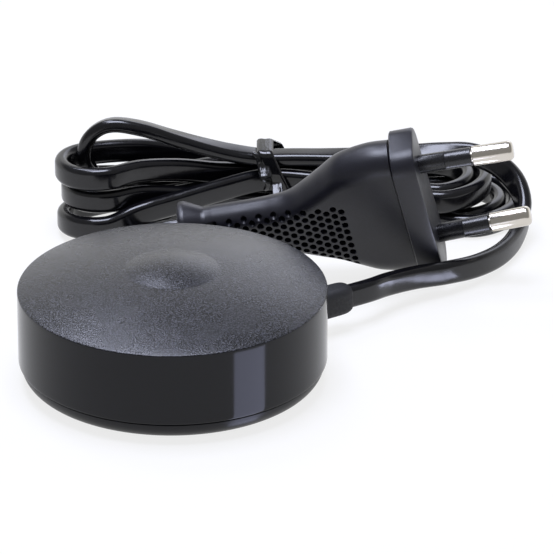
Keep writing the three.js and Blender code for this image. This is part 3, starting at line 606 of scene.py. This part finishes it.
def eased(share):
    """A share from 0 to 1 that starts and ends softly."""
    return share * share * (3 - 2 * share)


def turned(line):
    """Rings of a line of radius and height, turned about the Z axis."""
    angles = np.arange(TURN_SIDES) * TURN / TURN_SIDES
    return [np.stack((radius * np.cos(angles), radius * np.sin(angles), np.full(TURN_SIDES, height)), 1)
            for radius, height in line]


def crown_height(radius):
    """The crown's height at a radius: a shallow sphere with a low cap in the middle."""
    sphere = (BASE_RADIUS ** 2 + CROWN_RISE ** 2) / (2 * CROWN_RISE)
    height = RIM_HEIGHT + CROWN_RISE - sphere + math.sqrt(sphere ** 2 - radius ** 2)
    rise = BUMP_RISE * (1 - (radius / BUMP_RADIUS) ** 2)
    return height + (rise + math.hypot(rise, BUMP_FILLET)) / 2


def crown_line(outer):
    """The crown's points from that radius in to near the axis."""
    radii = outer * (1 - np.arange(CROWN_RINGS) / CROWN_RINGS)
    return [(radius, crown_height(radius)) for radius in radii]


def crown_underside(wall):
    """Points under the crown, a plain bowl, from near the axis out to the wall's radius."""
    return [(radius, RIM_HEIGHT + CROWN_RISE * (1 - (radius / BASE_RADIUS) ** 2) - CASE_WALL)
            for radius in np.linspace(HUB_RADIUS, wall, UNDERSIDE_RINGS)]


def make_upper_case():
    """Side wall, rounded rim and crown, with a rib inside that holds the seal down."""
    wall = BASE_RADIUS - CASE_WALL
    rib = wall - RIB_DEPTH
    band = BASE_RADIUS - RIM_BAND
    rim = rounded([
        (BASE_RADIUS, SEAM_TOP, 0), (BASE_RADIUS, RIM_HEIGHT, RIM_ROUND), (band, crown_height(band), 0),
    ])[1:]
    inside = crown_underside(wall)
    lower = rounded([
        (wall, inside[-1][1], 0), (wall, RIB_TOP, 0), (rib, RIB_TOP, 0), (rib, RIB_BOTTOM, 0),
        (wall, RIB_BOTTOM, 0), (wall, SEAM_TOP, 0), (BASE_RADIUS, SEAM_TOP, EDGE_ROUND),
        (BASE_RADIUS, RIM_HEIGHT, 0),
    ])[1:-1]
    heights = np.linspace(SEAM_TOP + SIDE_MARGIN, RIM_HEIGHT - SIDE_MARGIN, SIDE_RINGS)
    side = [(BASE_RADIUS, height) for height in heights]
    line = [*inside, *lower, *side, *rim, *crown_line(band)[1:]]
    made = piece("upper_case_shell", *skin(turned(line)), "case_black", ["upper_case"])
    polish_side(made)
    return made


def polish_side(made):
    """Gives everything below the rim the polished finish, and leaves the grain to the rim and the crown."""
    made.data.materials.append(POLISHED)
    for face in made.data.polygons:
        face.material_index = int(face.center.z < RIM_HEIGHT - RIM_ROUND / 4)


def make_lower_case():
    """The floor with its foot groove and plate recess, the lip that curls up to the seam, and the spigot."""
    curl = []
    for step in range(CURL_STEPS + 1):
        angle = step / CURL_STEPS * TURN / 4
        curl.append((
            FOOT_RADIUS + (LIP_RADIUS - FOOT_RADIUS) * math.sin(angle),
            LIP_TOP - (LIP_TOP - FLOOR_BOTTOM) * math.cos(angle),
        ))
    ledge = LIP_TOP + LIP_CHAMFER
    line = [
        (HUB_RADIUS, PLATE_RECESS_ROOF), (PLATE_RECESS_RADIUS, PLATE_RECESS_ROOF),
        (PLATE_RECESS_RADIUS, FLOOR_BOTTOM), (GROOVE_INNER, FLOOR_BOTTOM), (GROOVE_INNER, GROOVE_ROOF),
        (GROOVE_OUTER, GROOVE_ROOF), (GROOVE_OUTER, FLOOR_BOTTOM), *curl, (LIP_RADIUS - LIP_CHAMFER, ledge),
        (SPIGOT_OUTER, ledge), (SPIGOT_OUTER, SPIGOT_TOP), (SPIGOT_INNER, SPIGOT_TOP),
        (SPIGOT_INNER, FLOOR_TOP), (HUB_RADIUS, FLOOR_TOP),
    ]
    return piece("lower_case_shell", *skin(turned(line)), "lower_case_black", ["lower_case"])


def gland_point(reach, across, up):
    """A point of the gland, from its distance from the base's axis and its place in the section there."""
    cos = math.cos(GLAND_HEADING)
    sin = math.sin(GLAND_HEADING)
    return reach * cos - across * sin, reach * sin + across * cos, GLAND_HEIGHT + up


def gland_cutter():
    """The opening in the case that the gland's neck goes through."""
    wide, tall = (size / 2 + OPENING_CLEARANCE for size in GLAND_NECK)
    corners = [(-wide, -tall), (wide, -tall), (wide, tall), (-wide, tall)]
    outline = rounded([(*corner, OPENING_CORNER) for corner in corners])
    rings = [[gland_point(reach, across, up) for across, up in outline]
             for reach in (SPIGOT_INNER - OPENING_MARGIN, BASE_RADIUS + OPENING_MARGIN)]
    points, faces = skin(rings)
    mesh = bpy.data.meshes.new("gland_opening")
    mesh.from_pydata([tuple(point) for point in points], [], faces)
    cutter = bpy.data.objects.new("gland_opening", mesh)
    scene.collection.objects.link(cutter)
    return cutter


def cut(made, cutter):
    """Cuts the cutter out of a piece for good."""
    modifier = made.modifiers.new("opening", "BOOLEAN")
    modifier.object = cutter
    modifier.operation = "DIFFERENCE"
    modifier.solver = "EXACT"
    bpy.context.view_layer.update()
    graph = bpy.context.evaluated_depsgraph_get()
    shaped = bpy.data.meshes.new_from_object(made.evaluated_get(graph))
    made.modifiers.clear()
    made.data = shaped
    made.data.set_sharp_from_angle(angle=math.radians(SHARP_ANGLE))


def gland_sections():
    """Place, width and height of the gland's sections, from its head in the case to inside its mouth."""
    wide, tall = GLAND_BOOT
    stem = [
        (GLAND_HEAD_START, *GLAND_HEAD), (GLAND_NECK_START, *GLAND_HEAD),
        (GLAND_NECK_START + GLAND_STEP, *GLAND_NECK), (GLAND_BOOT_START, *GLAND_NECK),
        (GLAND_BOOT_START + GLAND_STEP, wide - GLAND_CHAMFER_CUT, tall - GLAND_CHAMFER_CUT),
        (GLAND_BOOT_START + GLAND_CHAMFER_LONG, wide, tall),
    ]
    lip = [(GLAND_END - back * MM, wide - narrower * MM, tall - lower * MM)
           for back, narrower, lower in GLAND_LIP]
    return [*stem, *lip]


def make_gland():
    """A short boot with soft edges and a mouth that the cord comes out of."""
    rings = [[gland_point(reach, across, up) for across, up in oval(wide, tall, GLAND_CORNER)]
             for reach, wide, tall in gland_sections()]
    return piece("cord_gland_boot", *skin(rings), "rubber_black", ["cord_gland"])


def in_plug(points):
    """Points of the plug's own frame taken to where the plug lies."""
    turn = PLUG_TURN.to_matrix()
    return [tuple(turn @ Vector(point) + PLUG_PLACE) for point in points]


def dimple_shares(back, up, low):
    """How far the grip's hexagonal field of dimples goes in at each distance behind the flange and height."""
    column = np.round((back - DIMPLE_START) / DIMPLE_COLUMN_PITCH)
    depth = np.zeros_like(up)
    for shift in (-1, 0, 1):
        near = np.clip(column + shift, 0, DIMPLE_COLUMNS - 1)
        top = DIMPLE_TOP - np.where(near % 2 == 0, DIMPLE_ROW_PITCH / 2, 0)
        row = np.maximum(np.round((top - up) / DIMPLE_ROW_PITCH), 0)
        centre_up = top - row * DIMPLE_ROW_PITCH
        centre_back = DIMPLE_START + near * DIMPLE_COLUMN_PITCH
        distance = np.hypot(back - centre_back, up - centre_up)
        wall = np.clip((DIMPLE_RADIUS + DIMPLE_WALL / 2 - distance) / DIMPLE_WALL, 0, 1)
        depth = np.maximum(depth, np.where(centre_up > low + DIMPLE_MARGIN, eased(wall), 0))
    return depth


def body_ring(back, y, z):
    """Points of the plug's frame at a distance behind the front of its body."""
    return np.stack((np.full_like(y, -FLANGE_THICK - BODY_GAP - back), y, z), 1)


def grip_ring(back, tall, lift):
    """One ring of the grip, with flat flanks, round edges and its dimples pressed in."""
    thick = BODY_HALF_THICK + (NECK_RADIUS - BODY_HALF_THICK) * eased(back / GRIP_LENGTH)
    straight = max(tall - thick, FLANK_LEAST)
    flank = np.linspace(-straight, straight, FLANK_STEPS, endpoint=False)
    side = np.full(FLANK_STEPS, thick)
    arc = (np.arange(EDGE_STEPS) / EDGE_STEPS - 0.5) * math.pi
    edge_y = thick * np.sin(arc)
    edge_z = straight + thick * np.cos(arc)
    y = np.concatenate((side, -edge_y, -side, edge_y))
    z = np.concatenate((flank, edge_z, -flank, -edge_z))
    pressed = dimple_shares(back, z + lift, lift - tall)
    y = y - np.sign(y) * pressed * np.maximum(np.abs(y) - (thick - DIMPLE_DEPTH), 0)
    return body_ring(back, y, z + lift)


def tail_ring(back, angles, half_thick, half_wide, power=1):
    """One ring of the collar or its mouth. A power under 1 squares it off."""
    across = np.sign(np.cos(angles)) * np.abs(np.cos(angles)) ** power
    up = np.sign(np.sin(angles)) * np.abs(np.sin(angles)) ** power
    return body_ring(back, half_thick * across, half_wide * up + TAIL_LIFT)


def collar_rings(angles):
    """The collar at the tail of the plug's body, and the mouth in it that the cord goes into."""
    start = BODY_LENGTH - COLLAR_LENGTH
    outside = [(start + back * MM, NECK_RADIUS + rise * MM) for back, rise in COLLAR_START]
    outside += [(BODY_LENGTH - ahead * MM, COLLAR_RADIUS - inset * MM) for ahead, inset in COLLAR_EDGE]
    thick = CORD_THICK / 2 + MOUTH_CLEARANCE
    wide = CORD_WIDE / 2 + MOUTH_CLEARANCE
    rings = [tail_ring(back, angles, radius, radius) for back, radius in outside]
    for ahead, share in MOUTH_RINGS:
        rings.append(tail_ring(BODY_LENGTH - ahead * MM, angles, thick * share, wide * share, MOUTH_POWER))
    return rings


def make_plug_body():
    """The tapering grip with dimples on both flanks, its thin neck, and the collar with the cord's mouth."""
    half = FLANGE_TALL / 2
    table = [(share * BODY_LENGTH, tall * half, lift * half) for share, tall, lift in BODY_SHARES]
    line = through(table, BODY_SPAN_STEPS)
    rings = []
    for back in np.arange(0, GRIP_LENGTH, GRIP_SLICE):
        tall, lift = (np.interp(back, line[:, 0], line[:, column]) for column in (1, 2))
        rings.append(grip_ring(back, tall, lift))
    angles = np.arctan2(rings[-1][:, 2] - lift, rings[-1][:, 1])
    points, faces = skin([*rings, *collar_rings(angles)])
    faces = [face[::-1] for face in faces]
    return piece("plug_grip", in_plug(points), faces, "plug_black", ["plug_body"], BODY_SHARP_ANGLE)


def make_flange():
    """The flat bridge that carries the pins, with softly broken edges."""
    stations = [(along * MM - FLANGE_THICK, inset * MM) for along, inset in FLANGE_BACK_EDGE]
    stations += [(-along * MM, inset * MM) for along, inset in FLANGE_FACE_EDGE]
    tall = FLANGE_TALL - FLANGE_TOP_CUT
    rings = []
    for reach, inset in stations:
        outline = oval(FLANGE_DEEP - 2 * inset, tall - 2 * inset, FLANGE_CORNER, FLANGE_CORNER_STEPS)
        rings.append([(reach, y, z - FLANGE_TOP_CUT / 2) for y, z in outline])
    points, faces = skin(rings)
    return piece("plug_flange", in_plug(points), faces, "plug_black", ["plug_bridge"])


def pin_line(side):
    """Where a pin's middle starts on the flange's face and the way that it points, in the plug's frame."""
    start = np.array((0, 0, side * PIN_BASE_SPACING / 2))
    end = np.array((PIN_LENGTH, 0, side * PIN_TIP_SPACING / 2))
    return start, (end - start) / np.linalg.norm(end - start)


def turned_on_pin(line, side):
    """Rings of a line of radius and reach, turned about a pin's middle."""
    start, away = pin_line(side)
    across = np.array((0, 1, 0))
    up = np.cross(away, across)
    angles = np.arange(PIN_SIDES) * TURN / PIN_SIDES
    return [[start + away * reach + radius * (across * math.cos(angle) + up * math.sin(angle))
             for angle in angles] for radius, reach in line]


def make_pin(name, side, node):
    """The pin's bare end, with a rounded tip and a step down into its sleeve."""
    shoulder = SLEEVE_LENGTH + SLEEVE_GAP
    line = rounded([
        (PIN_HUB_RADIUS, -PIN_ROOT, 0), (PIN_CORE_RADIUS, -PIN_ROOT, 0), (PIN_CORE_RADIUS, shoulder, 0),
        (PIN_RADIUS, shoulder, PIN_EDGE_ROUND), (PIN_RADIUS, PIN_LENGTH, PIN_TIP_ROUND),
        (PIN_HUB_RADIUS, PIN_LENGTH, 0),
    ])
    points, faces = skin(turned_on_pin(line, side))
    return piece(name, in_plug(points), faces, "pin_nickel", [node])


def make_sleeve(name, side, node):
    """The insulating sleeve round the pin's root, with a fine ring where its mould parts."""
    ring = SLEEVE_LENGTH / 2
    line = rounded([
        (SLEEVE_BORE_RADIUS, -SLEEVE_ROOT, 0), (SLEEVE_RADIUS, -SLEEVE_ROOT, 0),
        (SLEEVE_RADIUS, ring - MOULD_RING_HALF, 0), (SLEEVE_RADIUS + MOULD_RING_RISE, ring, 0),
        (SLEEVE_RADIUS, ring + MOULD_RING_HALF, 0), (SLEEVE_RADIUS, SLEEVE_LENGTH, PIN_EDGE_ROUND),
        (SLEEVE_BORE_RADIUS, SLEEVE_LENGTH, 0),
    ])
    points, faces = skin(turned_on_pin(line, side), ends=False)
    return piece(name, in_plug(points), faces, "sleeve_black", [node])


def on_circle(centre, radius, angle):
    """A point of a circle, from an angle in degrees."""
    angle = math.radians(angle)
    return centre[0] + radius * math.cos(angle), centre[1] + radius * math.sin(angle)


def lane(name):
    """A strand's rows from the tie to the left fold."""
    return [(x, y, z, 0) for x, (y, z) in zip(LANE_STATIONS, LANES[name])]


def right_fold(row, column, end_x):
    """One fold at the hank's right end, from the back strand round to the front one, and on to the tie."""
    back = WAIST_COLUMNS[column]
    front = WAIST_COLUMNS[-1 - column]
    radius = (back - front) / 2 + RIGHT_FOLD_FLARE
    centre_x = end_x - radius
    fold_z = RIGHT_FOLD_ROWS[row]

    def straight(share, start, towards):
        z = WAIST_ROWS[row] + share * (fold_z - WAIST_ROWS[row])
        return (TIE_X + share * (centre_x - TIE_X), start + (towards - start) * share ** 2, z, 0)

    out = [straight(share, back, RIGHT_FOLD_MIDDLE + radius) for share in RIGHT_FOLD_SHARES]
    home = [straight(share, front, RIGHT_FOLD_MIDDLE - radius) for share in (*RIGHT_FOLD_SHARES[::-1], 0)]
    turn = [(*on_circle((centre_x, RIGHT_FOLD_MIDDLE), radius, angle), fold_z, 0)
            for angle in RIGHT_FOLD_ANGLES]
    return [*out, *turn, *home]


def left_fold(name, row, column):
    """One fold at the hank's left end, from the front strand round to the back one, and on to the tie."""
    end_x, centre_y, start_z, end_z = LEFT_FOLDS[name]
    centre = (end_x + LEFT_FOLD_RADIUS, centre_y)
    heights = np.linspace(start_z, end_z, len(LEFT_FOLD_ANGLES))
    turn = [(*on_circle(centre, LEFT_FOLD_RADIUS, angle), z, 0)
            for angle, z in zip(LEFT_FOLD_ANGLES, heights)]
    waist = (TIE_X, WAIST_COLUMNS[column], WAIST_ROWS[row], 0)
    return [*lane(name + "_front"), *turn, *lane(name + "_back")[::-1], waist]


def standing_loop():
    """The loop that stands up at the left end, from the top strand down into the hank."""
    turn = []
    for angle, lean in STANDING_LEANS:
        x, z = on_circle(STANDING_CENTRE, STANDING_RADIUS, angle)
        turn.append((x, STANDING_Y, z, lean))
    return [*STANDING_RISE, *turn, *lane("inner_back")[::-1], (TIE_X, WAIST_COLUMNS[2], WAIST_ROWS[1], 0)]


def beside_gland(distance):
    """A row of the route before the gland's mouth, or inside it where the distance is below nought."""
    return (*(value / MM for value in gland_point(GLAND_END + distance, 0, 0)), 0)


def behind_plug(distance):
    """A row of the route behind the plug's collar, or inside it where the distance is below nought."""
    point = in_plug([(-FLANGE_THICK - BODY_GAP - BODY_LENGTH - distance, 0, TAIL_LIFT)])[0]
    return (*(value / MM for value in point), PLUG_LEAN)


def cord_route():
    """The whole route, from inside the gland's mouth to inside the plug's collar, in metres."""
    rows = [
        beside_gland(-CORD_ENTRY), beside_gland(LEAD_STRAIGHT), *LEAD_ROUTE, *standing_loop(),
        *right_fold(row=1, column=2, end_x=59.5), *left_fold("top", row=1, column=3),
        *right_fold(row=1, column=3, end_x=63), *left_fold("low", row=0, column=3),
        *right_fold(row=0, column=3, end_x=69.4), *left_fold("mid", row=0, column=2),
        *right_fold(row=0, column=2, end_x=66), *PLUG_ROUTE,
        behind_plug(TAIL_STRAIGHT), behind_plug(-CORD_ENTRY),
    ]
    line = through(rows, CORD_STEPS)
    return line[:, :3] * MM, np.radians(line[:, 3])


def cord_frames(centres, leans):
    """The directions of the section's wide and thin sides at each centre."""
    along = np.gradient(centres, axis=0)
    along /= np.linalg.norm(along, axis=1)[:, None]
    side = np.stack((along[:, 1], -along[:, 0], np.zeros(len(along))), 1)
    side /= np.linalg.norm(side, axis=1)[:, None]
    upright = np.cross(side, along)
    wide = upright * np.cos(leans)[:, None] + side * np.sin(leans)[:, None]
    for row in range(1, len(wide)):
        if wide[row] @ wide[row - 1] < 0:
            wide[row] = -wide[row]
    return wide, np.cross(wide, along)


def make_cord():
    """The flat twin cord from the gland to the plug, as one unbroken tube, with its line and its length."""
    centres, leans = cord_route()
    wide, thin = cord_frames(centres, leans)
    section = oval(CORD_THICK, CORD_WIDE, CORD_CORNER, CORD_CORNER_STEPS)
    rings = [[centre + x * across + y * along for x, y in section]
             for centre, across, along in zip(centres, thin, wide)]
    points, faces = skin(rings)
    made = piece("mains_cord", points, faces, "cord_black", ["cord_lead", "cord_hank"])
    length = float(np.linalg.norm(np.diff(centres, axis=0), axis=1).sum())
    return made, centres, length


def make_tie():
    """The tie: a slanting band of film round the hank's waist, drawn over the strand on top."""
    low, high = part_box("twist_tie")
    front = low.y + TIE_THICKNESS
    back = high.y - TIE_THICKNESS
    bottom = low.z + TIE_THICKNESS
    top = high.z - TIE_THICKNESS
    shoulder = WAIST_ROWS[1] * MM + CORD_WIDE / 2
    inside = np.array(rounded([
        (front, bottom, TIE_BEND), (back, bottom, TIE_BEND), (back, shoulder, TIE_SHOULDER_BEND),
        (TIE_CREST_BACK, top, TIE_BEND), (TIE_CREST_FRONT, top, TIE_BEND),
        (front, shoulder, TIE_SHOULDER_BEND),
    ], TIE_BEND_STEPS))
    ahead = np.roll(inside, -1, 0) - np.roll(inside, 1, 0)
    outward = np.stack((ahead[:, 1], -ahead[:, 0]), 1) / np.linalg.norm(ahead, axis=1)[:, None]
    rings = []
    for (y, z), (out_y, out_z) in zip(inside, outward):
        middle = TIE_X * MM + TIE_SLANT * (high.z - z)
        rings.append([(middle + share * TIE_WIDTH, y + out_y * thick * TIE_THICKNESS,
                       z + out_z * thick * TIE_THICKNESS) for share, thick in [*TIE_OUTSIDE, *TIE_INSIDE]])
    points, faces = skin(rings, ends=False)
    return piece("hank_tie", points, [face[::-1] for face in faces], "tie_black", ["twist_tie"])


def ribbon(name, rows, wide, thick):
    """A strip of the tie along rows of x, y, z and turn, narrower at both ends."""
    line = through(rows, RIBBON_STEPS)
    along, across = cord_frames(line[:, :3] * MM, np.radians(line[:, 3]))
    ends = np.minimum(1, RIBBON_TIP + RIBBON_TAPER * np.sin(np.linspace(0, math.pi, len(line))))
    section = oval(thick, wide, RIBBON_CORNER * thick, RIBBON_CORNER_STEPS)
    rings = [[centre * MM + share * (x * thin + y * broad) for x, y in section]
             for centre, thin, broad, share in zip(line[:, :3], across, along, ends)]
    points, faces = skin(rings)
    return piece(name, points, faces, "tie_black")


def make_twist():
    """The tie's ends, twisted together and pressed down over the strand on top."""
    return ribbon("tie_twist", TWIST_ROUTE, TWIST_WIDE, TWIST_THICK)


def make_tail():
    """The tie's free end, bent out from the band."""
    return ribbon("tie_tail", TAIL_ROUTE, TAIL_WIDE, TIE_THICKNESS)


def finish_frame_nodes():
    """Gives every node of the frame the finish of its slot."""
    slots = {row["node"]: row["material_slot"] for row in frame["record"]["subparts"]}
    for name, made in frame["nodes"].items():
        made.data.materials.clear()
        made.data.materials.append(FINISHES[slots[name]])


def make_camera():
    """The camera that the photograph was taken with, as fitted."""
    camera = bpy.data.objects.new("camera", bpy.data.cameras.new("camera"))
    scene.collection.objects.link(camera)
    rise = math.sin(CAMERA_ELEVATION)
    level = math.cos(CAMERA_ELEVATION)
    aim = Vector((AIM_ACROSS, AIM_RISE * rise, AIM_HEIGHT + AIM_RISE * level))
    camera.location = aim + Vector((0, -level, rise)) * CAMERA_DISTANCE
    camera.rotation_euler = (TURN / 4 - CAMERA_ELEVATION, 0, 0)
    camera.data.sensor_width = SENSOR_SIDE
    camera.data.lens = PIXELS_PER_METRE * CAMERA_DISTANCE / PICTURE_SIDE * SENSOR_SIDE
    camera.data.clip_start = 0.01
    camera.data.clip_end = 50
    scene.camera = camera


def either(tree, first, second):
    """The larger of two values, which for two yes or no values is whether either is yes."""
    return add_node(tree, "ShaderNodeMath", {0: first, 1: second}, operation="MAXIMUM").outputs[0]


def seen_directly(tree):
    """One for rays from the camera and for those that gloss or glass send on, and nought for the rest."""
    path = add_node(tree, "ShaderNodeLightPath")
    gloss = either(tree, path.outputs["Is Camera Ray"], path.outputs["Is Glossy Ray"])
    return either(tree, gloss, path.outputs["Is Transmission Ray"])


def paper_sweep():
    """Matt white paper: it glows near white where it is seen, and keeps the object's soft shadow."""
    material, tree = new_material("paper_sweep")
    paper = add_node(tree, "ShaderNodeBsdfDiffuse", {"Color": linear("#e8e8e8")})
    glow = add_node(tree, "ShaderNodeEmission", {"Color": linear("#ffffff"), "Strength": 1.0})
    share = add_node(tree, "ShaderNodeMath", {0: seen_directly(tree), 1: FLOOR_GLOW}, operation="MULTIPLY")
    shaders = {0: share.outputs[0], 1: paper.outputs[0], 2: glow.outputs[0]}
    both = add_node(tree, "ShaderNodeMixShader", shaders)
    add_node(tree, "ShaderNodeOutputMaterial", {"Surface": both.outputs[0]})
    return material


def stage_panel(name, corners, material):
    """A flat four-cornered panel that belongs to the stage and not to the object."""
    mesh = bpy.data.meshes.new(name)
    mesh.from_pydata(corners, [], [(0, 1, 2, 3)])
    mesh.materials.append(material)
    made = bpy.data.objects.new(name, mesh)
    scene.collection.objects.link(made)
    return made


def make_floor():
    """A pale floor that goes out of sight on every side."""
    half = FLOOR_HALF
    corners = [(-half, -half, 0), (half, -half, 0), (half, half, 0), (-half, half, 0)]
    stage_panel("floor", corners, paper_sweep())


def make_surround():
    """A white surround that lights the object softly and that glossy surfaces see darker overhead."""
    world = bpy.data.worlds.new("surround")
    scene.world = world
    world.use_nodes = True
    tree = world.node_tree
    tree.nodes.clear()
    soft = add_node(tree, "ShaderNodeBackground", {"Color": linear("#f4f6ff"), "Strength": ROOM_LEVEL})
    heading = add_node(tree, "ShaderNodeTexCoord").outputs["Generated"]
    overhead = add_node(tree, "ShaderNodeVectorMath", {0: heading, 1: CEILING_WAY}, operation="DOT_PRODUCT")
    dimmed = spread(tree, overhead.outputs["Value"], 1, DARK_CEILING, CEILING_FROM, CEILING_TO)
    path = add_node(tree, "ShaderNodeLightPath")
    level = either(tree, dimmed, path.outputs["Is Camera Ray"])
    white = add_node(tree, "ShaderNodeBackground", {"Color": linear("#ffffff"), "Strength": level})
    shaders = {0: seen_directly(tree), 1: soft.outputs[0], 2: white.outputs[0]}
    both = add_node(tree, "ShaderNodeMixShader", shaders)
    add_node(tree, "ShaderNodeOutputWorld", {"Surface": both.outputs[0]})


def make_card(name, colour, strength, corners):
    """A bright card just over the floor that only glossy surfaces see, from its corners in millimetres."""
    material, tree = new_material(name)
    glow = add_node(tree, "ShaderNodeEmission", {"Color": linear(colour), "Strength": strength})
    add_node(tree, "ShaderNodeOutputMaterial", {"Surface": glow.outputs[0]})
    card = stage_panel(name, [(x * MM, y * MM, CARD_HEIGHT) for x, y in corners], material)
    card.visible_camera = False
    card.visible_diffuse = False
    card.visible_shadow = False
    card.visible_transmission = False


def make_lamp(name, place, aim, side, power):
    """A square soft box at a place, turned towards a point."""
    lamp = bpy.data.lights.new(name, "AREA")
    lamp.size = side
    lamp.energy = power
    lamp.color = linear(LAMP_COLOUR)[:3]
    made = bpy.data.objects.new(name, lamp)
    made.location = place
    made.rotation_euler = (Vector(aim) - Vector(place)).to_track_quat("-Z", "Y").to_euler()
    scene.collection.objects.link(made)


make_camera()
make_floor()
make_surround()
make_lamp("top_box", place=(-0.05, 0.02, 0.9), aim=(0, 0.03, 0), side=0.45, power=9.5)
make_lamp("key_box", place=(-0.22, 0.43, 0.74), aim=(0, 0, 0), side=0.2, power=1.5)
make_lamp("rear_box", place=(0.21, 0.77, 0.35), aim=(0, 0, 0), side=0.35, power=0.4)
make_card("low_glare", "#d2d6f2", 5, [(12, -27.5), (44, -57), (60, -37), (17.9, -24.1)])
make_card("side_glare", "#d8dcf6", 9, [(56.6, 29.6), (61.1, 25.1), (67.5, 31.6), (63, 36)])
finish_frame_nodes()

opening = gland_cutter()
for shell in (make_upper_case(), make_lower_case()):
    cut(shell, opening)
bpy.data.objects.remove(opening)

on_cord = [
    make_gland(), make_plug_body(), make_flange(),
    make_pin("pin_bare_upper", 1, "pin_upper"), make_pin("pin_bare_lower", -1, "pin_lower"),
    make_sleeve("pin_sleeve_upper", 1, "sleeve_upper"), make_sleeve("pin_sleeve_lower", -1, "sleeve_lower"),
    make_tie(), make_twist(), make_tail(),
]
cord, cord_line, cord_length = make_cord()

scene.view_settings.view_transform = "Standard"
